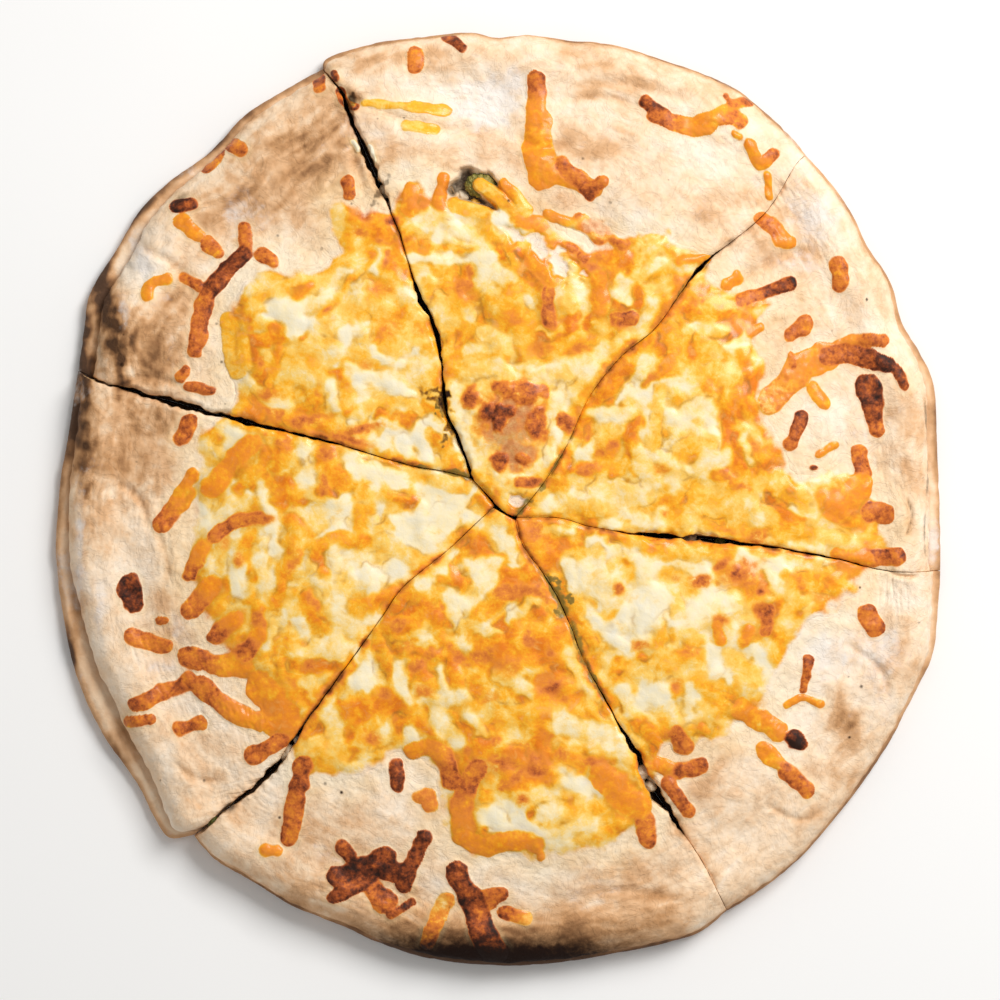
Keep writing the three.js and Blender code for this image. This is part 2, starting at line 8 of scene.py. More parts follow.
import bpy
import numpy as np
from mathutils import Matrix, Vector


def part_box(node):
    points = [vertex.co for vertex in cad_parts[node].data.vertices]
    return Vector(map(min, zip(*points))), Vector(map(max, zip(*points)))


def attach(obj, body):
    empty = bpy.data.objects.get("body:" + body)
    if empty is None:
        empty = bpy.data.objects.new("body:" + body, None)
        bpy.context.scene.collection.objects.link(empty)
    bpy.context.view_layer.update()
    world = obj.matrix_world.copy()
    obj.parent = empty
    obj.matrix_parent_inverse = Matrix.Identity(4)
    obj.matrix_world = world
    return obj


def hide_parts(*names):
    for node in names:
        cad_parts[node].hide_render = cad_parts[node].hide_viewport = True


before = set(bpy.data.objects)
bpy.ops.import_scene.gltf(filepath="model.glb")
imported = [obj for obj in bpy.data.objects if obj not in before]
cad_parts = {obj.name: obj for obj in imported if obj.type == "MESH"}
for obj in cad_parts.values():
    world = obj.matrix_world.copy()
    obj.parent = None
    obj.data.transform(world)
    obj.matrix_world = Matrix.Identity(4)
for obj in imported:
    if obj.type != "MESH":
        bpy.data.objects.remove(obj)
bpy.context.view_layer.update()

# %% [markdown]
# The photograph looks straight down, so a place on the bread and a place in the picture
# differ only by a scale. Features are named by their picture places, because a learner can
# check them there, and one function turns them into millimetres.

# %% From the picture to the bread
PIXEL = 0.27  # mm, width of a picture's pixel on the bread
PICTURE_MIDDLE = (499.0, 499.0)  # the pixel over the origin


def on_bread(pixels):
    """Places in mm for a flat list x, y, x, y of pixels: each is its step from the middle
    pixel times the pixel's width, with y turned to run up the picture."""
    pairs = np.asarray(pixels, float).reshape(-1, 2)
    across = (pairs[:, 0] - PICTURE_MIDDLE[0]) * PIXEL
    up = (PICTURE_MIDDLE[1] - pairs[:, 1]) * PIXEL
    return np.column_stack([across, up])


# %% [markdown]
# Every line on the bread is a smooth curve through a few points: the knife's cuts, the rim,
# the shreds and the creases. A Catmull-Rom spline passes through all of its points, which
# makes it the easy choice when the points are places that were looked up.

# %% Curves through points
FINE_STEPS = 24  # samples between two points, before they are spaced evenly


def step_lengths(line):
    """Length of each straight step of a line of points."""
    return np.linalg.norm(np.diff(line, axis=0), axis=1)


def even_steps(line, count):
    """count points at even steps of a line's length: each coordinate is read off against
    the length run so far."""
    run = np.r_[0, np.cumsum(step_lengths(line))]
    want = np.linspace(0, run[-1], count)
    return np.column_stack([np.interp(want, run, line[:, k]) for k in range(line.shape[1])])


def curve_through(points, count):
    """count points along the cubic that passes through all the points, with a slope at each
    of half the step between its two neighbours. The points may be a flat list x, y, x, y."""
    p = np.reshape(points, (-1, 2)).astype(float)
    padded = np.vstack([p[:1], p, p[-1:]])
    t = np.linspace(0, len(p) - 1, (len(p) - 1) * FINE_STEPS + 1)
    k = np.minimum(t.astype(int), len(p) - 2)
    w = (t - k)[:, None]
    before, start, end, after = (padded[k + i] for i in range(4))
    leave = (end - before) / 2
    arrive = (after - start) / 2
    cubic = 2 * start - 2 * end + leave + arrive
    square = 3 * end - 3 * start - 2 * leave - arrive
    return even_steps(((cubic * w + square) * w + leave) * w + start, count)


def drawn_line(pixels, step=1.6, least=3):
    """The curve through points given in pixels, with a point about every `step` mm."""
    points = on_bread(pixels)
    return curve_through(points, max(least, int(step_lengths(points).sum() / step)))


def along(values, share):
    """Evenly spaced values, read at shares 0 to 1 of the way through them."""
    return np.interp(share, np.linspace(0, 1, len(values)), values)


def on_line(line, share):
    """Points of a sampled line at shares 0 to 1 of it, between its two nearest samples."""
    return np.stack([along(line[:, k], share) for k in range(2)], axis=-1)


def ease(value, low=0.0, high=1.0):
    """0 below low, 1 above high, and 3t^2 - 2t^3 between them."""
    t = np.clip((value - low) / (high - low), 0, 1)
    return t * t * (3 - 2 * t)


# %% [markdown]
# Dough and cheese are uneven at every size. Gradient noise gives that: random slopes on a
# square lattice, blended between the corners. Two or three sizes of it, added up, look like
# kneaded dough, and the same function serves the map and the walls.

# %% Noise
LATTICE = 128  # slopes each way, repeated beyond
SHIFT_X, SHIFT_Y = 64.37, 64.71  # keeps the lattice's corners off the bread's middle


def noise(x, y, size, seed):
    """Gradient noise of about -1 to 1 whose lumps are `size` mm wide: each lattice corner
    has a random slope, and the four slopes' heights are blended by the eased distance."""
    slopes = np.random.default_rng(seed).uniform(0, 2 * np.pi, (LATTICE, LATTICE))
    gx, gy = np.cos(slopes), np.sin(slopes)
    px, py = x / size + SHIFT_X, y / size + SHIFT_Y
    ix, iy = np.floor(px).astype(int), np.floor(py).astype(int)
    fx, fy = px - ix, py - iy

    def corner(dx, dy):
        a, b = (ix + dx) % LATTICE, (iy + dy) % LATTICE
        return gx[a, b] * (fx - dx) + gy[a, b] * (fy - dy)

    wx, wy = ease(fx), ease(fy)
    low = corner(0, 0) * (1 - wx) + corner(1, 0) * wx
    high = corner(0, 1) * (1 - wx) + corner(1, 1) * wx
    return 1.5 * (low * (1 - wy) + high * wy)


def layered(x, y, size, seed, layers=3):
    """Noise of halving size and halving strength, added up."""
    return sum(noise(x, y, size / 2**k, seed + k) / 2**k for k in range(layers))


# %% [markdown]
# The knife made six cuts that don't quite meet in one point. Their lines and the slices' rims
# are those of the solid model, because the dressed slices have to fill the same shapes. The
# widths are those that show at the top, where bread tears wider than the knife cut.

# %% The knife's cuts and the slices' rims
TIP_TRIM = 0.7  # the points of the slices stop this far short of the middle
SIDE_SAMPLES = 400  # points on each side and each rim
TEAR_LUMPS = 4.5  # a torn edge wanders over about this many mm
CLOSED = 0.06  # half the gap of a cut that is pressed shut
WEST_TIP = [-7.5, 5.5]
SOUTH_TIP = [-1, -2]
HUB = [4.2, -5]
CUTS = {  # the centre line from the middle out, x, y, x, y, and its widths at even steps
    "northwest": (
        [*WEST_TIP, -10.5, 15, -14, 24, -16.5, 42.5, -20.5, 53, -24, 62.5, -27, 72, -31, 82,
         -39, 100.5, -43, 110, -48, 117],
        [0.2, 1.2, 1.5, 0.3, 1.1, 1.5, 0.4, 0.1, 0.8, 1.7, 1.1, 1.2, 0.1],
    ),
    "west": (
        [*WEST_TIP, -12.5, 7, -25.5, 9.5, -47.5, 16, -61, 19, -80, 24, -99.5, 29.5, -106.5, 31,
         -114.5, 35],
        [0.1, 0.15, 0.2, 0.3, 0.7, 0.9, 1.2, 1.8, 1.0, 0.6],
    ),
    "southwest": (
        [*SOUTH_TIP, -5, -5.5, -14, -14, -25.5, -23.5, -32, -32.5, -43.5, -48.5, -51, -58.5,
         -55.5, -65.5, -64, -76, -72.5, -83, -83, -91.5],
        [0.12, 0.12, 0.12, 0.15, 0.2, 0.4, 1.6, 0.9, 1.1],
    ),
    "south": (
        [*HUB, 6.5, -12.5, 13.5, -22.5, 19, -33.5, 23, -44, 30, -56.5, 36.5, -68, 42.5, -80,
         54, -96.5, 59.5, -107, 62, -112],
        [0.12, 0.15, 0.4, 0.2, 0.25, 0.4, 1.4, 2.8, 0.2, 0.12, 0.12],
    ),
    "east": (
        [*HUB, 15.5, -5, 25, -7.5, 38, -9.5, 51.5, -10.5, 62.5, -11.5, 74, -13, 90, -16,
         105.5, -19.5, 120, -19.5],
        [0.12, 0.12, 0.12, 1.4, 1.6, 0.6, 0.5, 0.4, 0.15, 0.12],
    ),
    "northeast": (
        [*HUB, 9, 0.5, 14.5, 8, 19, 16, 24, 27, 32.5, 38, 42.5, 46.5, 53.5, 61.5, 68.5, 74, 74, 80,
         80, 90, 83.5, 93.5],
        [0.1, 0.1, 0.1, 0.1, 0.1, 0.1, 0.1, 0.1, 0.1, 0.2, 1.0, 0.1, 0.1, 0.1, 0.1, 0.1],
    ),
}

# start and end: the cut, the side of it that the slice is on, and points before the cut.
# lip: how far the lower round shows outside the upper one. reach: the cheese's share of the
# way to the rim. lift: how far the slice stands above the common section. bumps: x, y, radius
# and height of a bubble or hollow.
SLICES = {
    "top": dict(
        start=("northeast", 1, []),
        end=("northwest", -1, [*HUB, *SOUTH_TIP]),
        rim=[78.5, 99.5, 68, 109, 60.5, 113.5, 52, 117, 35, 122.5, 26, 124.3, 20, 124.5, 9, 126.3,
             -1, 125.6, -8, 127, -17.5, 126, -27.5, 125, -36, 123.5, -46.5, 120],
        lip=[1, 1, 1, 1.5],
        reach=[0.69, 0.62, 0.61, 0.6, 0.61, 0.66, 0.69],
        lift=1.2,
        bumps=[[1.5, 21, 12, 2.2], [40, 88, 20, 2.4], [-5, 106, 11, -2.2], [14, 60, 16, 1.0],
               [-26, 98, 12, 1.2], [60, 100, 9, 1.2]],
    ),
    "left_upper": dict(
        start=("northwest", 1, []),
        end=("west", -1, []),
        rim=[-59.5, 110.5, -69.5, 104, -75.5, 97.5, -82, 91.8, -89.5, 86.5, -98, 78, -104.5, 67,
             -111, 56.5, -113, 45.5],
        lip=[2, 2.5, 4.5, 5],
        reach=[0.64, 0.66, 0.6, 0.68, 0.69, 0.63, 0.6],
        lift=0.4,
        bumps=[[-92, 45, 13, 2.6], [-96, 60, 8, -1.6], [-45, 50, 18, 1.2], [-66, 86, 12, 1.0]],
    ),
    "left_lower": dict(
        start=("west", 1, [*SOUTH_TIP]),
        end=("southwest", -1, []),
        rim=[-117, 18, -119.5, 3, -120.5, -16.5, -118.5, -31.5, -115, -48, -108, -63.5, -99.5, -76,
             -94, -86, -90, -92],
        lip=[2, 4, 7.5, 2.5],
        reach=[0.67, 0.66, 0.65, 0.67, 0.66, 0.65, 0.66],
        lift=-0.4,
        bumps=[[-60, -20, 16, 1.0], [-40, -2, 14, 0.8], [-98, -10, 12, 1.0],
               [-82, -70, 12, 1.0]],
    ),
    "bottom": dict(
        start=("southwest", 1, []),
        end=("south", -1, []),
        rim=[-78, -97.5, -68, -103.5, -56.5, -110.5, -41.5, -116.5, -32, -121, -18.5, -125, 1, -127,
             16.5, -126, 29.5, -124, 46.5, -120.5, 55, -117.5],
        lip=[1, 1.5, 1.5, 1],
        reach=[0.67, 0.65, 0.62, 0.66, 0.62, 0.66, 0.7],
        lift=0.6,
        bumps=[[5, -45, 18, 1.2], [-20, -30, 12, 0.8], [20, -90, 16, 1.2], [-45, -92, 14, 0.8]],
    ),
    "right_lower": dict(
        start=("south", 1, []),
        end=("east", -1, []),
        rim=[70, -107, 81, -98.5, 92, -86, 100, -75.5, 106.5, -65.5, 113, -53, 118, -42,
             119.5, -28.5],
        lip=[1, 1, 1.5, 2.5],
        reach=[0.63, 0.64, 0.66, 0.67, 0.68, 0.74, 0.8],
        lift=-0.2,
        bumps=[[50, -38, 16, 1.2], [30, -18, 10, 0.8], [80, -75, 14, 1.0], [98, -45, 12, 0.8]],
    ),
    "right_upper": dict(
        start=("east", 1, []),
        end=("northeast", -1, []),
        rim=[120, -3, 119.5, 7.5, 118.5, 29, 115, 39, 109.5, 48, 106.5, 59, 100, 69, 96, 77.5,
             90.5, 85.5],
        lip=[3.5, 3, 1, 1],
        reach=[0.8, 0.8, 0.63, 0.61, 0.63, 0.68, 0.64],
        lift=0.0,
        bumps=[[68, 60, 9, -1.6], [50, 16, 18, 1.4], [60, 34, 12, 1.0], [96, 62, 12, 0.8]],
    ),
}


def side_of(cut, turn, before, gape, torn_back):
    """One side of a slice: the cut's centre line moved into the slice by half its width,
    and torn a little: bread tears beside a knife, and the more the wider the cut is.
    torn_back moves the side further in, in bites, where the cut is open."""
    line, widths = CUTS[cut]
    fine = curve_through([*before, *line], SIDE_SAMPLES * 4)
    length = step_lengths(fine).sum()
    share = np.linspace(TIP_TRIM / length, 1, SIDE_SAMPLES)
    middle = on_line(fine, share)
    ahead = np.gradient(middle, axis=0)
    ahead /= np.linalg.norm(ahead, axis=1)[:, None]
    half = along(widths, share)[:, None] / 2
    run = share[:, None] * length
    torn = layered(run, 9.0 * turn, TEAR_LUMPS, 5) * np.clip(1.2 * half + 0.04, 0, 1.2)
    bites = ease(layered(run, 7.0 * turn, 6.0, 15), -0.3, 0.6)
    torn = torn + torn_back * bites * ease(half, 0.1, 0.7)
    aside = gape * np.maximum(half + torn, CLOSED) + (1 - gape) * CLOSED
    return middle + turn * aside * np.column_stack([-ahead[:, 1], ahead[:, 0]])


class Plan:
    """A slice seen from above, as the surface patch between its two sides, its blunt tip
    and its rim. u runs from the start side to the end side, and distance in from the rim."""

    def __init__(self, start, end, rim, gape=1.0, torn_back=0.0):
        self.cuts = start[0], end[0]
        self.start = side_of(*start, gape, torn_back)
        self.end = side_of(*end, gape, torn_back)
        self.rim = curve_through([*self.start[-1], *rim, *self.end[-1]], SIDE_SAMPLES)

    def tip(self, u):
        """Places on the short straight edge between the two sides' inner ends."""
        return self.start[0] + u[..., None] * (self.end[0] - self.start[0])

    def length(self, u):
        """Distance from the tip to the rim."""
        return np.linalg.norm(on_line(self.rim, u) - self.tip(u), axis=-1)

    def place(self, u, distance):
        """Coons patch: the blend of the sides, plus the blend of tip and rim, minus the
        flat patch through the four corners."""
        v = (1 - distance / self.length(u))[..., None]
        w = u[..., None]
        near = on_line(self.start, v[..., 0])
        far = on_line(self.end, v[..., 0])
        across = near + w * (far - near)
        outward = self.tip(u) + v * (on_line(self.rim, u) - self.tip(u))
        corner = self.start[-1] + w * (self.end[-1] - self.start[-1])
        return across + outward - (self.tip(u) + v * (corner - self.tip(u)))

    def from_side(self, u, distance):
        """Rough distance to the nearer side: its share of the slice's width there."""
        v = 1 - distance / self.length(u)
        width = np.linalg.norm(on_line(self.start, v) - on_line(self.end, v), axis=-1)
        return np.minimum(u, 1 - u) * width

    def gap(self, u, distance):
        """Width of the cut beside the nearer side."""
        v = 1 - distance / self.length(u)
        return np.where(u < 0.5, *(along(CUTS[cut][1], v) for cut in self.cuts))

    def out_to(self, stop, u, share):
        """Distance from the rim at a share of the way from the tip out to a stop."""
        reach = self.length(u)
        return reach + (stop - reach) * share

    def grid(self, u, distance):
        """u at every point of a grid of distances, and the points' x and y."""
        u_grid = u[:, None] + 0 * distance
        place = self.place(u_grid, distance)
        return u_grid, place[..., 0], place[..., 1]


def all_plans(**shape):
    return {name: Plan(s["start"], s["end"], s["rim"], **shape) for name, s in SLICES.items()}


plans = all_plans()
# The top edges of a cut are torn back from its foot, so the crumb shows on its walls.
torn_plans = all_plans(torn_back=0.2)
# The knife hardly opened the lower round, so the same cuts are nearly shut there.
lower_plans = all_plans(gape=0.15)
rims = np.vstack([plan.rim for plan in plans.values()])
rim_turn = np.arctan2(rims[:, 1], rims[:, 0])
order = np.argsort(rim_turn)
rim_turn, rim_reach = rim_turn[order], np.hypot(*rims[order].T)


def inward_of(x, y):
    """Distance in from the bread's rim, measured towards the middle."""
    return np.interp(np.arctan2(y, x), rim_turn, rim_reach, period=2 * np.pi) - np.hypot(x, y)


print("slices", {name: round(float(p.length(np.array(0.5))), 1) for name, p in plans.items()})

# %% [markdown]
# The map is a square grid of cells over the whole bread. Each of its layers is one number a
# cell: how high the dough and the cheese stand, and how much cheddar, browning, toast, flour
# and oil there is. A mesh reads the layers at its own points later, so shreds run on
# from one slice to the next across the cut, as they do when a baked pie is cut.

# %% The map's layers
CELL = 0.3  # mm
HALF_MAP = 132.0  # mm
ticks = np.arange(-HALF_MAP, HALF_MAP + CELL / 2, CELL)
MAP_X, MAP_Y = np.meshgrid(ticks, ticks, indexing="ij")
COLOUR_LAYERS = ("cheese", "cheddar", "browned", "toasted", "floured", "oily", "green", "sooty")
layer = {name: np.zeros(MAP_X.shape) for name in ("dough", "relief", *COLOUR_LAYERS)}
EVERYWHERE = slice(None)


def read_map(values, x, y):
    """A layer's value at any place, blended between the four cells round it."""
    px = np.clip((x + HALF_MAP) / CELL, 0, len(ticks) - 2.001)
    py = np.clip((y + HALF_MAP) / CELL, 0, len(ticks) - 2.001)
    i, j = px.astype(int), py.astype(int)
    a, b = px - i, py - j
    low = values[i, j] * (1 - a) + values[i + 1, j] * a
    high = values[i, j + 1] * (1 - a) + values[i + 1, j + 1] * a
    return low * (1 - b) + high * b


def window(line, reach):
    """The part of the map within reach of a line, as a pair of slices."""
    low = np.floor((line.min(axis=0) - reach + HALF_MAP) / CELL).astype(int)
    high = np.ceil((line.max(axis=0) + reach + HALF_MAP) / CELL).astype(int) + 1
    low = np.clip(low, 0, len(ticks) - 1)
    high = np.clip(high, 1, len(ticks))
    return slice(low[0], high[0]), slice(low[1], high[1])


def from_line(line, x, y):
    """Distance of each place to a line of points, and the share of the line there: the
    nearest of its straight steps counts."""
    start, step = line[:-1], np.diff(line, axis=0)
    dx, dy = x[..., None] - start[:, 0], y[..., None] - start[:, 1]
    t = (dx * step[:, 0] + dy * step[:, 1]) / np.maximum((step**2).sum(axis=1), 1e-9)
    t = np.clip(t, 0, 1)
    far = (dx - t * step[:, 0]) ** 2 + (dy - t * step[:, 1]) ** 2
    best = far.argmin(axis=-1)[..., None]
    gap = np.sqrt(np.take_along_axis(far, best, -1)[..., 0])
    return gap, (best[..., 0] + np.take_along_axis(t, best, -1)[..., 0]) / len(step)


def paint(where, cover, **values):
    """Lays new values over layers: old times (1 - cover) plus new times cover."""
    for name, value in values.items():
        old = layer[name][where]
        layer[name][where] = old + (value - old) * cover


def at_least(where, **values):
    """Lays values over layers only where they are higher than what is there."""
    for name, value in values.items():
        layer[name][where] = np.maximum(layer[name][where], value)


def soften(values, radius):
    """The layer run together over a radius in mm: its waves are damped by a bell of their
    frequency, which is a Gaussian blur."""
    waves = np.fft.rfft2(values)
    fx = np.fft.fftfreq(values.shape[0], CELL)[:, None]
    fy = np.fft.rfftfreq(values.shape[1], CELL)
    return np.fft.irfft2(waves * np.exp(-2 * (np.pi * radius) ** 2 * (fx**2 + fy**2)),
                         values.shape)


wobble = layered(MAP_X, MAP_Y, 3.2, 11, 2)
print("map", MAP_X.shape, "cells of", CELL, "mm")

# %% [markdown]
# The bare crust comes first. It is pale and dry where flour was left, tan where it caught
# the heat, and it has low pillows, fine wrinkles that follow the rim, and a few deep creases
# where the dough was folded. The toast is strongest on the left rim and on the low edge, and
# there painted shade darkens it further.

# %% Crust: toast, flour and wrinkles
RIM_RADIUS = 110  # mm, roughly
inward = inward_of(MAP_X, MAP_Y)
round_rim = np.arctan2(MAP_Y, MAP_X) * RIM_RADIUS  # length along the rim
near_rim = 1 - ease(inward, 10, 50)

pillows = 0.9 * noise(MAP_X, MAP_Y, 26, 21) + 0.5 * noise(MAP_X, MAP_Y, 11, 22)
pebbles = 0.26 * layered(MAP_X, MAP_Y, 4.5, 23)
drift = 2.0 * noise(MAP_X, MAP_Y, 14, 28)  # bends the wrinkles
wrinkles = noise(round_rim / 7, (inward + drift) / 1.6, 1.0, 24) + 0.6 * noise(
    round_rim / 3.5, (inward + drift) / 0.9, 1.0, 25
)
wrinkle_place = ease(noise(MAP_X, MAP_Y, 18, 26), -0.2, 0.5) * near_rim
layer["dough"] += pillows + pebbles - 0.3 * np.abs(wrinkles) * (0.3 + wrinkle_place)

patches = layered(MAP_X, MAP_Y, 24, 31, 4)
blotches = layered(MAP_X, MAP_Y, 9, 35, 4)
layer["toasted"] += 0.15 + 0.14 * patches + 0.10 * blotches
layer["floured"] += 0.4 * ease(layered(MAP_X, MAP_Y, 20, 41, 4), 0.1, 0.7)

# Every row of these tables is a value, or two, and then an oval: x, y, half width and half
# height in pixels, and the oval's turn in degrees where it has one.
# Broad tones of the crust: the change of toast. On the left rim and the left slices it is
# partly painted shade as well. Below zero is paler.
CRUST_TONES = [
    (-0.02, 650, 185, 80, 55, 10), (0.26, 590, 150, 40, 25), (0.18, 710, 205, 40, 30, 20),
    (0.1, 800, 315, 34, 22), (0.16, 912, 450, 14, 44), (0.04, 860, 330, 50, 80),
    (-0.16, 230, 265, 60, 50), (-0.12, 150, 765, 44, 44, -30), (0.1, 560, 210, 60, 24),
    (0.2, 430, 155, 70, 16), (0.16, 430, 58, 90, 10, 5), (0.22, 375, 58, 34, 10, 10),
    (-0.2, 430, 92, 60, 22), (-0.14, 500, 110, 44, 26), (0.1, 600, 60, 60, 16, -10),
    (0.1, 640, 84, 90, 14, -12), (0.3, 588, 92, 18, 8), (0.42, 280, 180, 90, 52, 35),
    (0.08, 215, 225, 50, 26, 40), (0.12, 320, 120, 40, 30, 60), (0.64, 152, 348, 34, 38),
    (0.34, 185, 290, 22, 30, 20), (1, 105, 300, 14, 80, 12), (0.6, 85, 370, 10, 60),
    (0.4, 140, 205, 40, 10, 42), (0.24, 230, 125, 60, 14, 34), (0.42, 130, 455, 46, 50),
    (0.26, 160, 420, 34, 18, -20), (0.5, 80, 440, 14, 60, 5), (0.04, 92, 560, 14, 60, -4),
    (0.02, 80, 600, 18, 90, -8), (0.44, 68, 650, 8, 90, -8), (0.24, 110, 760, 12, 70, -25),
    (0.06, 150, 745, 40, 50, -30), (0.12, 170, 600, 40, 80), (0.04, 220, 770, 40, 34, 20),
    (0.12, 330, 830, 80, 50, 20), (0.12, 600, 925, 130, 22, -8), (0.14, 380, 925, 70, 20, 18),
    (0.6, 350, 103, 12, 10), (0.22, 300, 900, 60, 26, 25), (0.14, 650, 890, 70, 34, -18),
    (0.06, 560, 880, 70, 30), (0.16, 700, 800, 20, 50, -25), (0.06, 900, 640, 34, 90, 10),
    (-0.04, 860, 300, 60, 60), (0.12, 915, 380, 14, 70, -10), (0.42, 843, 716, 14, 26, 20),
    (-0.12, 830, 650, 40, 40), (0.24, 820, 860, 70, 12, 40), (0.1, 760, 250, 40, 30, 20),
    (0.1, 900, 500, 24, 40), (0.08, 860, 780, 30, 60, 30), (0.04, 250, 240, 40, 24, 30),
]
# Dry white flour: how much. Below zero it was wiped off.
FLOUR_PATCHES = [
    (0.95, 485, 110, 48, 28, 5), (0.7, 510, 88, 60, 20), (0.4, 425, 84, 44, 12),
    (0.8, 820, 220, 40, 30, 30), (0.6, 800, 265, 40, 14, -10), (0.95, 145, 265, 16, 44, 20),
    (0.7, 125, 310, 8, 30, 10), (0.9, 935, 540, 8, 26), (0.8, 520, 505, 20, 14),
    (0.7, 600, 290, 40, 22), (0.6, 370, 770, 60, 20), (0.6, 185, 625, 22, 30), (0.6, 160, 668, 24, 10),
    (-0.9, 155, 765, 44, 44), (0.5, 690, 150, 40, 30), (0.5, 650, 100, 50, 10),
    (0.45, 880, 640, 40, 50, 10), (0.8, 820, 650, 40, 40), (0.4, 330, 860, 30, 20),
    (0.75, 80, 540, 8, 60), (0.6, 100, 620, 8, 40), (0.4, 860, 430, 30, 40),
    (0.4, 230, 210, 14, 18, 30), (0.3, 420, 820, 60, 20), (0.6, 760, 180, 24, 16, -40),
]
# Black marks: how black. The long thin ones on the left rim are painted shade in its grooves.
DARK_MARKS = [
    (0.5, 95, 330, 5, 60, 12), (0.5, 120, 250, 5, 40, 30), (0.8, 78, 372, 10, 8),
    (0.6, 180, 200, 14, 6, 40), (0.9, 230, 807, 8, 6),
]
FRONT_TURN = 90  # degrees: the front's middle is this far below the x axis
FRONT_HALF = 27  # degrees: and it reaches this far to each side


def patch(x, y, half_width, half_height, turn=0, rough=0.3):
    """Window and strength of a soft oval: a bell of the distance in half sizes, with the
    distance made uneven by the noise."""
    middle = on_bread([x, y])
    reach = max(half_width, half_height) * PIXEL
    where = window(middle, reach * 1.9)
    dx, dy = MAP_X[where] - middle[0, 0], MAP_Y[where] - middle[0, 1]
    c, s = np.cos(np.radians(turn)), np.sin(np.radians(turn))
    lengthwise = (dx * c + dy * s) / (half_width * PIXEL)
    across = (dy * c - dx * s) / (half_height * PIXEL)
    away = np.hypot(lengthwise, across) + rough * wobble[where]
    return where, np.exp(-np.maximum(away, 0) ** 2 * 1.2)


for change, *oval in CRUST_TONES:
    where, strength = patch(*oval)
    layer["toasted"][where] += strength * change
for change, *oval in FLOUR_PATCHES:
    where, strength = patch(*oval)
    paint(where, strength * abs(change), floured=float(change > 0))
for black, *oval in DARK_MARKS:
    where, strength = patch(*oval, rough=0.1)
    at_least(where, sooty=strength * black)
# The front edge goes from tan to nearly black at the rim: partly toast, partly painted shade.
from_front = np.abs(np.degrees(np.arctan2(MAP_Y, MAP_X)) + FRONT_TURN)
front_toast_and_shade = ease(FRONT_HALF - from_front, 0, FRONT_HALF) * (1 + 0.1 * wobble)
layer["toasted"] += 0.9 * front_toast_and_shade * (1 - ease(inward, 1, 22))
at_least(EVERYWHERE, sooty=1.4 * front_toast_and_shade * (1 - ease(inward, 0, 14)))
streaks = noise(round_rim / 9, (inward + drift) / 2.6, 1.0, 27) + 0.7 * wrinkles
streaky = np.clip(layer["toasted"], 0.08, 0.6) * (0.35 + 0.65 * near_rim)
high_spots = layer["dough"] - soften(layer["dough"], 2.5)
edge_line = 1 - ease(inward + 0.5 * wobble, 0.2, 2.4)
layer["toasted"] += 0.32 * streaky * streaks + 0.16 * high_spots + 0.34 * edge_line
layer["floured"] -= 0.3 * high_spots + 0.3 * streaky * streaks

# %% [markdown]
# Creases are lines pressed into the dough. Each is a valley with a soft profile, and the
# dough beside it swells a little, which is what makes a fold look folded.

# %% Crust: creases
# Width and depth in mm, then the crease's points in pixels
CREASES = [
    (2.6, 1.3, 340, 90, 352, 99, 364, 103), (3, 0.8, 364, 103, 400, 120, 450, 130, 512, 131),
    (3.4, 0.7, 560, 92, 605, 84, 660, 92, 710, 112), (2.6, 0.5, 540, 108, 590, 98, 640, 104),
    (3.2, 0.8, 512, 131, 540, 150, 575, 140), (3.4, 0.8, 720, 299, 784, 256, 827, 255),
    (3, 0.6, 128, 245, 152, 250, 170, 235), (2.6, 0.6, 350, 130, 356, 165, 366, 200),
    (2.4, 0.5, 120, 385, 150, 378, 186, 388), (2.6, 0.6, 190, 285, 170, 262, 140, 250),
    (2.2, 0.4, 150, 520, 168, 560, 160, 600), (2.2, 0.45, 110, 480, 140, 500, 150, 540),
    (2.4, 0.5, 170, 760, 200, 780, 230, 778), (2.4, 0.5, 240, 880, 300, 905, 360, 918),
    (2.4, 0.4, 560, 900, 620, 890, 690, 900), (2.2, 0.5, 840, 640, 880, 670, 890, 710),
    (2, 0.5, 905, 495, 911, 520, 906, 541), (1.2, 0.9, 889, 573, 905, 577, 920, 576),
    (2, 0.4, 760, 800, 800, 820, 840, 800), (1, 0.8, 259, 429, 266, 445, 274, 459),
]
# Thin cracks in the dry rim: points in pixels
CRACKS = [
    (925, 396, 928, 424, 931, 446), (930, 452, 929, 480, 927, 500), (926, 508, 925, 540, 927, 562),
    (906, 496, 912, 514, 909, 528, 904, 540), (344, 96, 352, 112, 356, 124),
]

for width, depth, *pixels in CREASES:
    line = drawn_line(pixels, step=1.5, least=6)
    where = window(line, width * 2.2)
    gap, share = from_line(line, MAP_X[where], MAP_Y[where])
    fade = ease(np.minimum(share, 1 - share), 0, 0.25)
    valley = np.exp(-((gap / width * 2.2) ** 2))
    swell = np.exp(-(((gap - width) / width * 1.6) ** 2))
    layer["dough"][where] += fade * depth * (0.3 * swell - valley)
    # Painted shade: the valley is drawn a little darker.
    layer["toasted"][where] += 0.10 * fade * valley
for pixels in CRACKS:
    line = curve_through(on_bread(pixels), 24)
    where = window(line, 1.5)
    gap, share = from_line(line, MAP_X[where], MAP_Y[where])
    crack = 1 - ease(gap + 0.2 * wobble[where], 0.1, 0.55)
    crack = crack * ease(np.minimum(share, 1 - share), 0, 0.2)
    layer["dough"][where] -= 0.5 * crack
    # Painted shade: the cracks are drawn dark as well as sunk.
    at_least(where, sooty=0.55 * crack)
print("crust drawn,", len(CRUST_TONES), "tones,", len(CREASES), "creases")
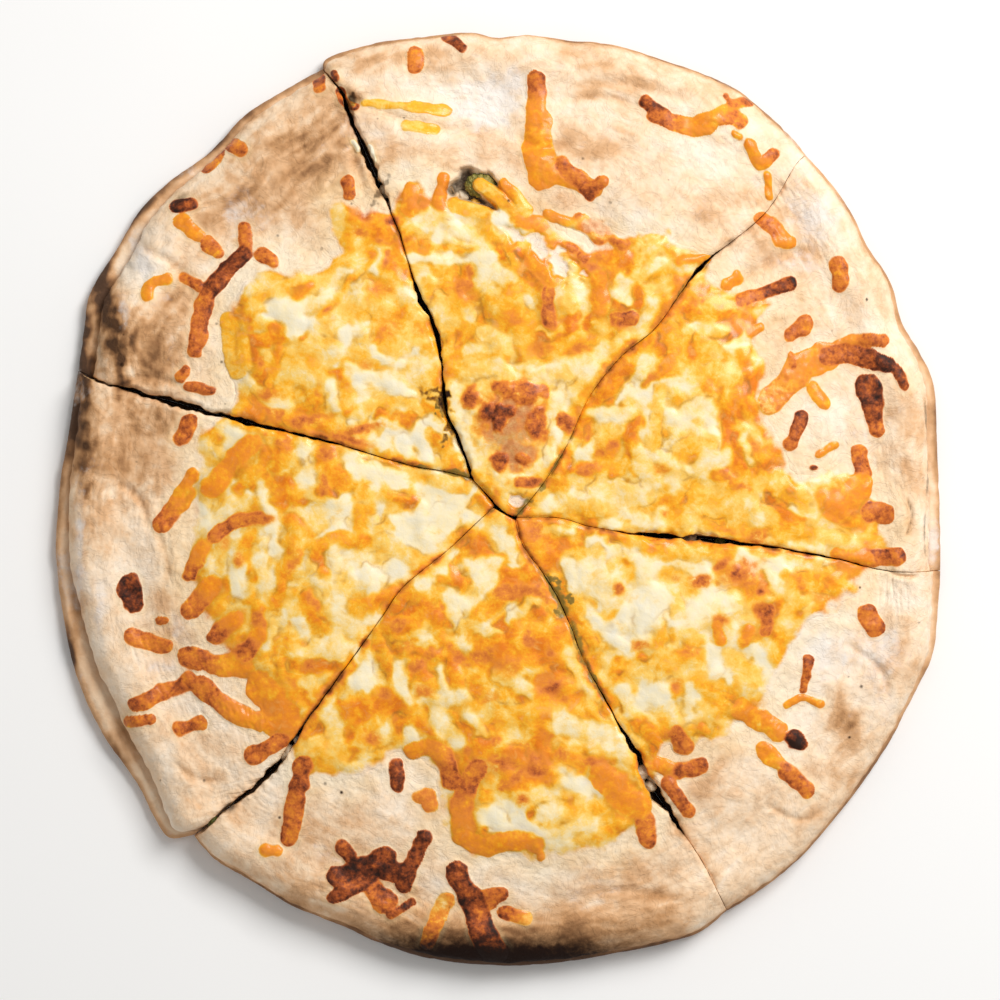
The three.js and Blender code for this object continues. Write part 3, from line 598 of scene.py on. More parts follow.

# %% [markdown]
# The cheese lies over the middle. Its border is given as one closed line through places in
# pixels. The cover rises from 0 to 1 over a few millimetres there, made ragged by noise.

# %% Cheese: the blanket
CHEESE_BORDER = [
    884, 548, 880, 520, 850, 470, 800, 478, 775, 450, 757, 405, 762, 370, 756, 335,
    770, 300, 720, 292, 700, 262, 668, 238, 630, 236, 600, 252, 560, 236, 520, 218,
    450, 200, 410, 186, 385, 212, 335, 202, 345, 248, 318, 272, 262, 268, 236, 300,
    238, 370, 236, 408, 205, 430, 200, 470, 192, 540, 200, 600, 225, 640, 262, 690,
    292, 742, 306, 765, 352, 772, 400, 748, 440, 770, 450, 830, 500, 850, 560, 850,
    620, 838, 650, 810, 660, 752, 705, 735, 760, 708, 780, 660, 800, 625, 840, 600,
]


def inside_border(pixels, samples=260):
    """Signed distance in mm to a closed line, above zero inside it. A cell is inside if a
    ray from it to the right crosses the line an odd number of times."""
    corners = on_bread(pixels)
    line = curve_through(np.vstack([corners, corners[:1]]), samples)
    away = np.full(MAP_X.shape, 1e9)
    inside = np.zeros(MAP_X.shape, bool)
    for start, end in zip(line[:-1], line[1:]):
        step = end - start
        dx, dy = MAP_X - start[0], MAP_Y - start[1]
        t = np.clip((dx * step[0] + dy * step[1]) / (step @ step + 1e-12), 0, 1)
        away = np.minimum(away, (dx - t * step[0]) ** 2 + (dy - t * step[1]) ** 2)
        crosses = (start[1] > MAP_Y) != (end[1] > MAP_Y)
        slope = step[0] / step[1] if step[1] else 0.0
        inside ^= crosses & (MAP_X < start[0] + (MAP_Y - start[1]) * slope)
    return np.where(inside, 1, -1) * np.sqrt(away)


border = inside_border(CHEESE_BORDER)
ragged = border + 2.6 * layered(MAP_X, MAP_Y, 9, 51)
film = ragged + 1.2 * layered(MAP_X, MAP_Y, 2.6, 53)
layer["cheese"] = soften(ease(film, -2.4, 2.8), 0.5)
layer["cheddar"] = 0.42 + 0.2 * layered(MAP_X, MAP_Y, 12, 52)
layer["oily"] = 0.75 * ease(ragged, -12, 1.0) * (1 - layer["cheese"])
print("cheese covers", round(float((layer["cheese"] > 0.5).sum()) * CELL**2 / 100), "cm2")

# %% [markdown]
# Two cheeses were mixed: orange cheddar, and white mozzarella that turned cream and gold.
# Broad washes set where one or the other wins, and where the top browned.

# %% Cheese: broad washes
# How orange the cheese is (0 is white, 0.5 gold, 1 deep orange) and how browned, then the oval
WASHES = [
    (0.85, 0, 420, 205, 28, 22), (0.35, 0, 465, 265, 45, 35), (0.6, 0.1, 525, 275, 35, 30),
    (0.12, 0, 596, 292, 42, 24), (0.5, 0, 470, 320, 45, 30), (0.55, 0.05, 545, 345, 40, 25),
    (0.2, 0, 615, 350, 28, 20), (0.7, 0.1, 640, 330, 24, 20), (0.65, 0.05, 580, 420, 22, 40, -35),
    (0.5, 0, 655, 250, 28, 16), (0.85, 0.12, 730, 325, 40, 30), (0.8, 0.05, 690, 330, 30, 30),
    (0.2, 0, 690, 415, 36, 26), (0.15, 0, 670, 465, 28, 26), (0.7, 0.05, 640, 400, 25, 45, -30),
    (0.8, 0.1, 735, 400, 25, 50), (0.75, 0.08, 760, 480, 50, 40), (0.65, 0.05, 700, 510, 60, 22),
    (0.92, 0.2, 845, 515, 38, 34), (0.45, 0, 605, 475, 35, 35), (0.85, 0.05, 560, 540, 40, 18, -10),
    (0.4, 0.02, 620, 590, 50, 30), (0.3, 0, 640, 650, 50, 45), (0.6, 0.05, 700, 690, 60, 30, -15),
    (0.35, 0, 720, 630, 40, 30), (0.8, 0.35, 830, 585, 34, 26, 10), (0.7, 0.1, 790, 600, 26, 40),
    (0.75, 0.35, 740, 575, 30, 20), (0.7, 0.12, 680, 570, 40, 16), (0.65, 0.08, 585, 640, 18, 45, 25),
    (0.97, 0.05, 520, 650, 45, 55), (0.85, 0.08, 560, 720, 55, 35), (0.6, 0, 400, 620, 30, 50, -35),
    (0.35, 0, 470, 600, 30, 30), (0.25, 0, 365, 665, 18, 35, -30), (0.8, 0.05, 420, 700, 50, 36),
    (0.8, 0.4, 515, 760, 60, 20), (0.85, 0.05, 340, 735, 36, 24), (0.42, 0, 550, 810, 50, 34),
    (0.85, 0.2, 620, 790, 32, 32), (0.75, 0, 480, 540, 25, 30), (0.6, 0, 450, 660, 40, 30),
    (0.35, 0, 330, 520, 70, 45), (0.55, 0, 260, 480, 40, 40), (0.5, 0.03, 250, 560, 45, 45),
    (0.35, 0, 420, 510, 50, 22), (0.35, 0, 300, 620, 55, 40), (0.55, 0, 360, 600, 40, 50, -40),
    (0.6, 0.03, 300, 680, 40, 34), (0.7, 0.15, 250, 660, 30, 30), (0.5, 0.05, 330, 455, 50, 16, -10),
    (0.5, 0, 340, 310, 60, 45), (0.8, 0.02, 390, 310, 30, 40, 20), (0.35, 0, 300, 350, 45, 30),
    (0.3, 0, 390, 360, 40, 34), (0.6, 0.03, 350, 400, 60, 25, -15), (0.8, 0.1, 270, 400, 36, 26, -10),
    (0.75, 0.02, 380, 235, 26, 22), (0.75, 0.05, 270, 300, 28, 30), (0.8, 0.2, 430, 445, 40, 14, -25),
    (0.9, 0.42, 300, 420, 60, 9, -17), (0.1, 0, 229, 320, 14, 42), (0.02, 0, 366, 660, 14, 30),
    (0.02, 0, 462, 612, 13, 12), (0.02, 0, 608, 412, 17, 12), (0.02, 0, 690, 415, 24, 17),
    (0.04, 0, 573, 290, 16, 22), (0.04, 0, 622, 292, 12, 16), (0.85, 0.1, 598, 300, 9, 26),
    (0, 0, 491, 817, 15, 15), (0.38, 0, 560, 815, 30, 26), (0.6, 0, 640, 265, 24, 12, -30),
    (0.65, 0, 700, 262, 24, 8, -10), (0.9, 0.6, 625, 320, 10, 9), (0.95, 0.2, 560, 545, 26, 9),
    (0.9, 0.14, 265, 690, 26, 36, -40), (0.85, 0.1, 235, 660, 22, 18), (0.92, 0.1, 330, 740, 40, 20),
    (0.85, 0.05, 250, 470, 22, 16), (0.85, 0.12, 560, 450, 16, 50, -32), (0.2, 0, 452, 500, 22, 20),
    (0.15, 0, 330, 560, 36, 20), (0.3, 0, 395, 545, 26, 16), (0.98, 0.12, 545, 640, 34, 34),
    (0.1, 0, 470, 570, 18, 22), (0.2, 0, 640, 560, 26, 20), (0.3, 0, 600, 620, 20, 20),
]
# Soft browned spots in the blanket: how browned, then the oval
BROWN_SPOTS = [
    (0.62, 552, 687, 12, 9, 15), (0.42, 618, 588, 7, 7), (0.5, 700, 580, 12, 8),
    (0.55, 738, 574, 10, 12), (0.5, 759, 591, 6, 5), (0.4, 721, 564, 12, 6, 40),
    (0.34, 372, 737, 12, 8), (0.36, 311, 665, 8, 7), (0.36, 479, 656, 10, 8), (0.45, 500, 759, 14, 8),
    (0.42, 536, 769, 16, 8), (0.5, 522, 798, 8, 6), (0.34, 613, 445, 8, 7), (0.25, 548, 684, 18, 14),
    (0.25, 505, 665, 20, 14), (0.34, 640, 645, 9, 7), (0.36, 720, 620, 10, 8), (0.3, 690, 650, 12, 8),
    (0.4, 760, 610, 9, 12), (0.4, 655, 765, 12, 8), (0.35, 590, 760, 18, 8), (0.34, 840, 500, 16, 16),
    (0.3, 270, 395, 16, 8), (0.45, 350, 440, 26, 6, -15), (0.3, 240, 560, 9, 8),
    (0.42, 265, 520, 16, 6, 15), (0.3, 425, 690, 12, 9), (0.22, 515, 318, 12, 16),
    (0.3, 540, 350, 16, 10), (0.3, 580, 350, 12, 8), (0.22, 470, 300, 14, 9), (0.34, 620, 800, 14, 14),
    (0.24, 660, 470, 10, 8), (0.22, 300, 290, 14, 8), (0.2, 420, 330, 14, 10),
    (0.25, 380, 290, 18, 10), (0.42, 368, 215, 14, 9, 10), (0.62, 392, 222, 9, 5, 10),
    (0.22, 389, 329, 20, 16), (0.42, 306, 421, 26, 7, 12), (0.42, 360, 430, 24, 6, 12),
    (0.36, 461, 290, 8, 12), (0.3, 422, 206, 10, 8), (0.3, 560, 250, 24, 12, -20),
    (0.34, 590, 268, 14, 8),
]

for orange, brown, *oval in WASHES:
    where, strength = patch(*oval, rough=0.45)
    paint(where, 0.85 * strength, cheddar=orange, browned=brown)

# %% [markdown]
# A melted shred is still a shred: a low, round-backed strand with blunt ends, wider where it
# slumped. It is drawn along a curve, with its edge moved by noise. Later shreds lie over
# earlier ones, as they fell.

# %% Cheese: one shred
waver = layered(MAP_X, MAP_Y, 5.5, 12, 2)
drifting = layered(MAP_X, MAP_Y, 8.0, 13, 2)  # where it is high, edges ran together
PULL = 1.3  # mm, how far melting pulled a strand's edge this way and that
pulled_x = PULL * layered(MAP_X, MAP_Y, 3.4, 21, 2)
pulled_y = PULL * layered(MAP_X, MAP_Y, 3.4, 22, 2)


def lay_shred(line, width, rise, cover=1.0, soft=0.3, bound=None, rim=0.0, halo=0.0,
              uneven=0.13, pull=0.25, **values):
    """Adds a strand along a line. Its half width swells a little somewhere along it, and
    its back is a flat arch over it: height = rise * (1 - (gap / half width)^2). A value may
    be a pair, for its two ends. With bound, a layer, the strand is only laid where that is 1.
    rim is how dark the line along its edge is: fat, and painted shade in the crease there.
    halo is how far it oiled the dough.
    pull says how much of the melting's pull its outline shows."""
    where = window(line, width + 1)
    x, y = MAP_X[where] + pull * pulled_x[where], MAP_Y[where] + pull * pulled_y[where]
    gap, share = from_line(line, x, y)
    half = width / 2 * (0.93 + 0.07 * np.sin(np.pi * share + 0.5 * line[0].sum()))
    gap = gap + uneven * width * waver[where] + 0.12 * wobble[where]
    allowed = 1.0 if bound is None else bound[where]
    back = allowed * rise * np.clip(1 - np.maximum(gap / half, 0) ** 2, 0, 1)
    if halo:
        paint(where, halo * (1 - ease(gap - half, 0, 2.0)), oily=0.9)
    at_least(where, relief=back + 0.3 * layer["relief"][where])
    melt = soft * (1 + 1.8 * np.clip(drifting[where], -0.4, 1.2))
    inside = cover * ease((half + melt - gap) / melt, 0, 2)
    for name, value in values.items():
        start, end = value if isinstance(value, tuple) else (value, value)
        spread = start + (end - start) * ease(share, 0.1, 0.9)
        if name == "browned":
            edge = ease(gap / half, 0.45, 1.0)
            spread = spread * (0.96 + 0.2 * edge + 0.3 * waver[where] - 0.08 * wobble[where])
        paint(where, inside * allowed, **{name: spread})
    if rim or halo:
        paint(where, inside * allowed, oily=0.0)
        edge = rim * np.exp(-(((gap - half - 0.1) / 0.3) ** 2)) * (0.2 + 2 * waver[where])
        at_least(where, oily=allowed * np.clip(edge, 0, 1))


def bent_line(x, y, heading, length, bend):
    """Points of a strand that starts at x, y and turns evenly by bend over its length."""
    run = np.linspace(0, 1, 9)
    turn = heading + bend * (run - 0.5)
    step = length / (len(run) - 1)
    return np.column_stack([x + np.cumsum(np.cos(turn)) * step,
                            y + np.cumsum(np.sin(turn)) * step])


def round_spot(x, y, reach, rough):
    """Window round a place in mm, and the distance to it there, made uneven by the noise."""
    where = window(np.array([[x, y]]), reach)
    return where, np.hypot(MAP_X[where] - x, MAP_Y[where] - y) + rough * wobble[where]


print("strands can be laid")

# %% [markdown]
# Most of the blanket's strands have run into one another, and only the grain of them is left.
# Those are drawn at random from a seed: short, bent a little, orange where the wash below
# is orange. Small spots of browned fat go over them.

# %% Cheese: the grain of the blanket
SHREDS_DRAWN = 1100
blanket = ease(ragged, -2.5, 1.0)
layer["dough"] += 0.85 * blanket * (soften(layer["dough"], 2.5) - layer["dough"])
draw = np.random.default_rng(2024)
for start_x, start_y in draw.uniform(-98, 108, (SHREDS_DRAWN, 2)):
    heading, bend = draw.uniform(0, 2 * np.pi), draw.normal(0, 0.8)
    length, width = draw.uniform(5, 18), draw.uniform(3.4, 5.6)
    chance, tone, cover = draw.uniform(0, 1, 3)
    if read_map(border, start_x, start_y) < -1.0:
        continue
    mood = read_map(layer["cheddar"], start_x, start_y)
    is_cheddar = chance < 1.4 * mood - 0.14
    orange = 0.52 + 0.48 * tone if is_cheddar else 0.08 + 0.34 * tone
    lay_shred(
        bent_line(start_x, start_y, heading, length, bend),
        width,
        rise=0.10 + 0.30 * tone,
        cover=0.45 + 0.55 * cover,
        soft=0.4 + 0.6 * (1 - cover),
        bound=blanket,
        rim=0.45,
        uneven=0.2,
        pull=0.9,
        cheddar=orange,
    )
SPOTS_DRAWN = 500
for x, y in draw.uniform(-98, 108, (SPOTS_DRAWN, 2)):
    size, strength = draw.uniform(0.8, 3.4), draw.uniform(0.08, 0.45)
    if read_map(border, x, y) < 0:
        continue
    where, gap = round_spot(x, y, size * 2, 0.5)
    spot = strength * np.exp(-((gap / size) ** 2))
    warm = np.clip(layer["cheddar"][where] * 1.4 - 0.2, 0, 1)
    at_least(where, browned=spot * warm)
print(SHREDS_DRAWN, "strands and", SPOTS_DRAWN, "spots tried")

# %% [markdown]
# The strands that can still be told apart come next, each one where it lies: first its look,
# then its width in pixels and the points of its line. White and cream ones are the other
# cheese, which browns less.

# %% Cheese: the strands of the blanket
#          orange, browned, rise in mm
MELTED_LOOKS = {
    "w": (0.12, 0.0, 0.35), "c": (0.26, 0.0, 0.35), "y": (0.5, 0.0, 0.3),
    "o": (0.76, 0.06, 0.4), "b": (0.9, 0.32, 0.4),
}
MELTED = [  # look, width in pixels, then the points in pixels
    # left upper
    ("o", 40, 368, 215, 385, 235), ("w", 13, 385, 252, 376, 270), ("o", 28, 398, 258, 392, 288),
    ("c", 12, 368, 284, 360, 296), ("o", 8, 372, 262, 345, 290, 318, 322),
    ("w", 30, 275, 300, 296, 325), ("w", 11, 313, 322, 320, 336),
    ("w", 10, 374, 350, 384, 361, 405, 364), ("w", 17, 352, 370, 372, 378, 392, 379),
    ("w", 15, 394, 390, 412, 396), ("w", 15, 332, 384, 334, 406), ("y", 50, 385, 300, 400, 330),
    ("y", 50, 290, 370, 325, 350), ("o", 20, 292, 420, 330, 428), ("c", 11, 351, 422, 357, 442),
    ("y", 13, 363, 432, 367, 411, 391, 402, 414, 404, 426, 420), ("w", 16, 404, 440, 410, 455),
    ("w", 18, 421, 424, 426, 456), ("o", 24, 436, 432, 454, 463), ("y", 20, 238, 322, 242, 362),
    ("w", 14, 222, 300, 224, 350), ("o", 15, 245, 262, 240, 300), ("y", 14, 262, 300, 300, 280),
    ("c", 16, 300, 310, 330, 296), ("y", 26, 420, 370, 440, 395), ("c", 12, 262, 395, 244, 376),
    ("o", 18, 262, 420, 244, 408), ("w", 12, 290, 408, 272, 402), ("o", 13, 280, 350, 270, 385),
    # top
    ("ob", 16, 400, 198, 438, 198), ("c", 12, 446, 226, 476, 238), ("c", 11, 448, 241, 472, 250),
    ("o", 8, 422, 243, 446, 251, 471, 253), ("y", 15, 482, 228, 505, 246, 520, 270),
    ("w", 12, 414, 259, 450, 261, 492, 259), ("o", 15, 467, 270, 460, 294),
    ("c", 12, 496, 294, 478, 303, 472, 318), ("y", 34, 490, 310, 516, 322),
    ("c", 22, 486, 334, 504, 342), ("o", 24, 452, 368, 500, 366), ("w", 26, 571, 276, 572, 304),
    ("y", 19, 599, 284, 600, 322), ("w", 18, 620, 284, 626, 302),
    ("c", 18, 648, 292, 652, 312, 640, 332), ("w", 24, 604, 352, 622, 342),
    ("o", 15, 541, 286, 550, 326), ("y", 30, 512, 300, 524, 322), ("y", 16, 640, 262, 668, 238),
    ("o", 9, 684, 262, 708, 260), ("w", 12, 660, 262, 676, 268), ("w", 12, 666, 240, 690, 246),
    ("c", 26, 560, 372, 590, 366), ("c", 20, 440, 300, 436, 330), ("y", 14, 452, 300, 450, 350),
    ("c", 14, 560, 400, 585, 380), ("y", 18, 545, 350, 580, 340), ("w", 12, 430, 420, 462, 440),
    ("y", 14, 520, 488, 500, 478), ("w", 12, 524, 500, 518, 514),
    ("w", 20, 456, 392, 458, 428, 472, 462), ("w", 16, 560, 388, 556, 420, 548, 456),
    ("o", 14, 482, 478, 496, 494), ("c", 16, 470, 376, 500, 370, 540, 374),
    # right upper
    ("o", 17, 646, 346, 620, 376, 594, 406, 568, 450, 556, 486), ("c", 14, 646, 362, 640, 376),
    ("y", 24, 668, 332, 670, 366), ("o", 12, 652, 338, 661, 352), ("w", 12, 630, 386, 618, 402),
    ("w", 18, 594, 414, 630, 414), ("y", 17, 658, 392, 654, 452), ("w", 22, 674, 414, 698, 406),
    ("w", 15, 708, 402, 714, 446), ("c", 24, 664, 458, 684, 470), ("y", 30, 684, 450, 706, 452),
    ("o", 13, 727, 392, 726, 450), ("yo", 24, 610, 432, 606, 448),
    ("o", 19, 690, 312, 720, 312, 746, 304), ("y", 24, 700, 340, 730, 350),
    ("c", 12, 712, 334, 730, 330), ("o", 17, 738, 326, 742, 360), ("y", 26, 700, 372, 730, 376),
    ("w", 18, 744, 340, 730, 346), ("c", 34, 600, 490, 640, 494), ("w", 20, 690, 470, 720, 458),
    ("y", 38, 700, 500, 760, 512), ("c", 24, 640, 460, 650, 480), ("y", 20, 560, 504, 600, 510),
    ("o", 18, 762, 420, 776, 446), ("w", 12, 742, 440, 748, 462), ("y", 30, 770, 480, 800, 500),
    ("o", 14, 782, 470, 790, 486), ("o", 30, 826, 500, 850, 520), ("y", 18, 800, 530, 840, 540),
    ("c", 18, 752, 500, 756, 520), ("o", 12, 748, 372, 756, 400),
    # right lower
    ("o", 38, 528, 532, 548, 556), ("c", 10, 554, 530, 572, 532), ("w", 22, 594, 542, 612, 548),
    ("y", 24, 572, 562, 596, 552), ("w", 17, 568, 562, 572, 586), ("o", 13, 618, 536, 640, 540),
    ("o", 17, 650, 549, 690, 554, 728, 552), ("c", 38, 590, 578, 610, 590),
    ("y", 20, 672, 592, 676, 610), ("y", 18, 686, 634, 700, 642),
    ("o", 14, 577, 606, 584, 628, 592, 644), ("w", 15, 607, 636, 632, 650),
    ("y", 26, 620, 682, 650, 668, 668, 664), ("w", 22, 660, 600, 640, 620),
    ("c", 30, 700, 610, 730, 600), ("w", 22, 640, 700, 660, 690), ("o", 18, 648, 730, 660, 744),
    ("y", 16, 690, 728, 680, 744), ("o", 22, 722, 706, 748, 716), ("y", 30, 730, 660, 750, 676),
    ("w", 16, 712, 650, 716, 672), ("o", 14, 764, 640, 776, 660), ("o", 20, 800, 580, 850, 592),
    ("c", 16, 640, 570, 650, 590), ("y", 20, 620, 720, 634, 744), ("w", 14, 766, 570, 776, 590),
    ("o", 26, 830, 575, 846, 600), ("y", 20, 780, 620, 800, 600), ("c", 18, 630, 710, 622, 690),
    # bottom
    ("o", 18, 447, 555, 422, 580, 396, 604), ("w", 9, 474, 534, 452, 553),
    ("y", 16, 484, 520, 508, 524), ("w", 20, 500, 536, 516, 552), ("o", 25, 448, 572, 468, 586),
    ("o", 15, 500, 560, 482, 550, 472, 534), ("w", 22, 452, 596, 458, 620),
    ("w", 26, 474, 610, 490, 566), ("y", 15, 460, 628, 490, 610, 512, 595),
    ("y", 11, 394, 638, 410, 634, 428, 624), ("o", 13, 402, 627, 420, 618, 437, 605),
    ("o", 15, 437, 613, 440, 640), ("w", 15, 512, 614, 534, 598),
    ("o", 17, 480, 612, 504, 594, 532, 588, 552, 600, 556, 616, 538, 638),
    ("o", 44, 500, 650, 550, 634), ("c", 14, 568, 652, 580, 676, 594, 696),
    ("w", 22, 366, 642, 366, 684), ("o", 17, 376, 632, 388, 660, 392, 694),
    ("o", 36, 356, 712, 400, 700), ("c", 22, 330, 716, 336, 738), ("w", 14, 398, 664, 407, 698),
    ("o", 20, 416, 660, 430, 686), ("w", 9, 438, 666, 446, 690), ("o", 15, 450, 648, 458, 684),
    ("w", 17, 420, 692, 440, 698, 466, 694), ("c", 26, 440, 716, 456, 734),
    ("o", 11, 452, 712, 468, 734), ("w", 12, 466, 710, 482, 730), ("w", 18, 500, 672, 530, 690),
    ("y", 30, 500, 712, 550, 716), ("w", 22, 560, 722, 590, 730), ("o", 13, 590, 706, 606, 722),
    ("c", 20, 600, 730, 622, 740), ("y", 14, 622, 744, 634, 768), ("o", 22, 480, 744, 520, 752),
    ("o", 24, 560, 752, 600, 768), ("w", 26, 482, 812, 500, 820), ("cy", 30, 546, 812, 580, 810),
    ("y", 12, 516, 798, 530, 806), ("w", 18, 560, 780, 600, 790), ("o", 30, 612, 780, 636, 806),
    ("o", 20, 466, 790, 466, 830, 500, 842), ("y", 26, 320, 745, 340, 752),
    # left lower
    ("o", 18, 283, 442, 296, 466), ("c", 14, 305, 452, 311, 495), ("o", 28, 326, 456, 344, 488),
    ("w", 24, 352, 462, 398, 478), ("w", 26, 340, 504, 340, 532),
    ("o", 16, 359, 492, 369, 497, 372, 510), ("o", 16, 385, 491, 410, 502, 424, 506),
    ("y", 30, 372, 538, 410, 520), ("o", 13, 360, 510, 364, 538), ("w", 10, 395, 518, 416, 517),
    ("w", 60, 450, 500, 420, 555), ("o", 17, 325, 572, 319, 550, 336, 539, 362, 541),
    ("c", 12, 334, 552, 338, 568), ("w", 20, 366, 570, 382, 580), ("w", 20, 392, 566, 406, 578),
    ("o", 20, 294, 522, 298, 546, 284, 576, 276, 602), ("w", 16, 274, 516, 278, 550),
    ("o", 18, 394, 592, 356, 609), ("c", 16, 317, 579, 334, 595, 346, 618),
    ("y", 20, 304, 586, 292, 610), ("o", 20, 306, 594, 324, 626),
    ("o", 22, 306, 608, 320, 626, 344, 645), ("w", 14, 301, 622, 308, 636),
    ("c", 22, 330, 612, 360, 636), ("c", 26, 312, 648, 340, 650), ("w", 22, 312, 684, 328, 696),
    ("o", 20, 250, 640, 270, 668), ("o", 30, 256, 690, 280, 714), ("c", 20, 262, 560, 268, 590),
    ("w", 18, 236, 560, 240, 590), ("o", 16, 262, 470, 240, 488), ("w", 14, 262, 490, 268, 510),
    ("c", 16, 230, 500, 222, 524), ("o", 18, 280, 660, 296, 700), ("w", 14, 232, 430, 250, 440),
    ("c", 20, 280, 620, 268, 640), ("y", 18, 384, 540, 420, 562), ("o", 12, 388, 498, 412, 502),
    ("y", 12, 432, 480, 466, 490), ("y", 13, 446, 546, 470, 530), ("w", 12, 420, 530, 440, 506),
]
for look, width, *pixels in MELTED:
    orange, brown, rise = zip(MELTED_LOOKS[look[0]], MELTED_LOOKS[look[-1]])
    cover, soft = draw.uniform(0.7, 0.95), draw.uniform(0.3, 0.8)
    soft = soft + 0.5 * (look[0] in "wc")
    lay_shred(drawn_line(pixels), width * PIXEL, rise[0], cover, soft, blanket,
              rim=draw.uniform(0.5, 1.1), uneven=0.2, pull=0.7, cheddar=orange, browned=brown)
# Where the whole blanket is a little more orange, or below zero paler
TINTS = [
    (0.14, 540, 290, 90, 80), (0.1, 700, 400, 110, 110), (0.1, 490, 650, 90, 110),
    (-0.06, 300, 500, 100, 60), (-0.08, 320, 340, 90, 80), (-0.08, 650, 620, 90, 90),
]
for change, *oval in TINTS:
    where, strength = patch(*oval)
    layer["cheddar"][where] += change * strength
layer["cheddar"] *= 1 + (0.32 * waver + 0.16 * drifting) * blanket
fried = 0.34 * ease(drifting - 0.5 * waver, 0.2, 0.8) * ease(layer["cheddar"], 0.45, 0.8)
at_least(EVERYWHERE, browned=fried * blanket)
for name in ("cheddar", "browned"):
    layer[name] = soften(layer[name], 0.25)
layer["relief"] = soften(layer["relief"], 0.35)
# Pooled fat and painted shade: the cheese's hollows are made darker amber.
hollows = soften(layer["relief"], 1.1) - layer["relief"]
at_least(EVERYWHERE, oily=0.6 * layer["cheese"] * ease(hollows, 0.03, 0.16))

# How strongly the knife's cuts are stained by fat that ran and browned, at every eighth.
# The same numbers set the painted shade of the dark line along each cut's slit.
CUT_STAINS = {
    "northwest": [0.8, 0.8, 0.6, 0.5, 0.5, 0.7, 0.6, 0.4, 0.4],
    "west": [0.9, 1.0, 1.0, 1.0, 0.9, 0.7, 0.5, 0.5, 0.5],
    "southwest": [0.8, 0.7, 0.7, 0.8, 0.8, 0.8, 0.6, 0.4, 0.3],
    "south": [0.8, 1.0, 1.0, 0.8, 0.8, 0.9, 0.9, 0.3, 0.3],
    "east": [0.7, 0.8, 0.9, 1.0, 1.0, 1.0, 0.8, 0.3, 0.3],
    "northeast": [0.8, 0.9, 0.9, 0.9, 0.8, 0.9, 0.6, 0.3, 0.3],
}
# How much of the filling's green juice was pressed up into them, in the same way
CUT_GREENS = {
    "northwest": [0.6, 0.4, 0.4, 0.0, 0.0, 0.0, 0.2, 0.0, 0.0],
    "west": [0.9, 0.6, 0.3, 0.1, 0.0, 0.0, 0.2, 0.0, 0.0],
    "southwest": [0.5, 0.2, 0.2, 0.1, 0.0, 0.0, 0.2, 0.2, 0.0],
    "south": [0.0, 0.7, 1.4, 0.8, 0.5, 0.3, 0.2, 0.0, 0.0],
    "east": [0.4, 0.3, 0.1, 0.0, 0.0, 0.0, 0.0, 0.0, 0.0],
    "northeast": [0.8, 0.8, 0.5, 0.4, 0.4, 0.5, 0.2, 0.0, 0.0],
}
# The side of a cut that stayed cleaner: 1 is on the left, looking out from the middle
CLEANER_SIDE = {"west": 1, "east": 1, "northwest": -1}
for name, stains in CUT_STAINS.items():
    line = curve_through(CUTS[name][0], 60)
    where = window(line, 7.0)
    x, y = MAP_X[where], MAP_Y[where]
    gap, share = from_line(line, x, y)
    strength = along(stains, share) * (1 + 0.8 * wobble[where])
    spot = on_line(line, share)
    ahead = on_line(line, np.clip(share + 0.02, 0, 1)) - on_line(line, share - 0.02)
    side = np.sign(ahead[..., 0] * (y - spot[..., 1]) - ahead[..., 1] * (x - spot[..., 0]))
    cleaner = side == CLEANER_SIDE.get(name, 2)
    strength = np.where(cleaner, 0.35 * strength, strength)
    strength = strength * np.clip(0.8 + 1.3 * drifting[where], 0.1, 1.3)
    near = 1 - ease(gap, 0.4, 3.6 + 1.8 * waver[where])
    paint(where, np.clip(0.8 * near * strength, 0, 1), cheddar=0.92, browned=0.14)
    scorched = 1 - ease(gap, 0.4, 2.0 + waver[where])
    paint(where, np.clip(0.6 * scorched * strength, 0, 1), browned=0.42)
    juice = along(CUT_GREENS[name], share)
    band = 1 - ease(gap + 0.5 * wobble[where], 0.3, (1.6 + waver[where]) * (0.6 + 0.6 * juice))
    band = np.clip(band * juice * (0.8 + 0.8 * drifting[where]), 0, 1)
    at_least(where, green=band)
    # Painted shade: a dark line right along the cut, where its narrow slit lies in shadow.
    seam_shade = 1 - ease(gap, 0.2, 1.3 + 0.5 * waver[where])
    seam_shade = np.clip(seam_shade * strength * (0.9 + 0.5 * waver[where]), 0, 1)
    at_least(where, sooty=0.62 * seam_shade * (1 - 0.7 * band))
    layer["toasted"][where] += 0.2 * near * strength
for brown, *oval in BROWN_SPOTS:
    where, strength = patch(*oval)
    at_least(where, browned=brown * strength)
    paint(where, 0.6 * strength, cheddar=0.9)
print("cheese melted")

# %% [markdown]
# The shreds that fell on the bare crust had nothing under them, so they browned. They are
# the strongest marks on the bread, and each one is placed where it lies. A letter says how
# far it went: y is yellow, o orange, p pale brown, b brown and d dark; w is white cheese.
# Two letters are its two ends, because the outer end of a shred is often the darker one.

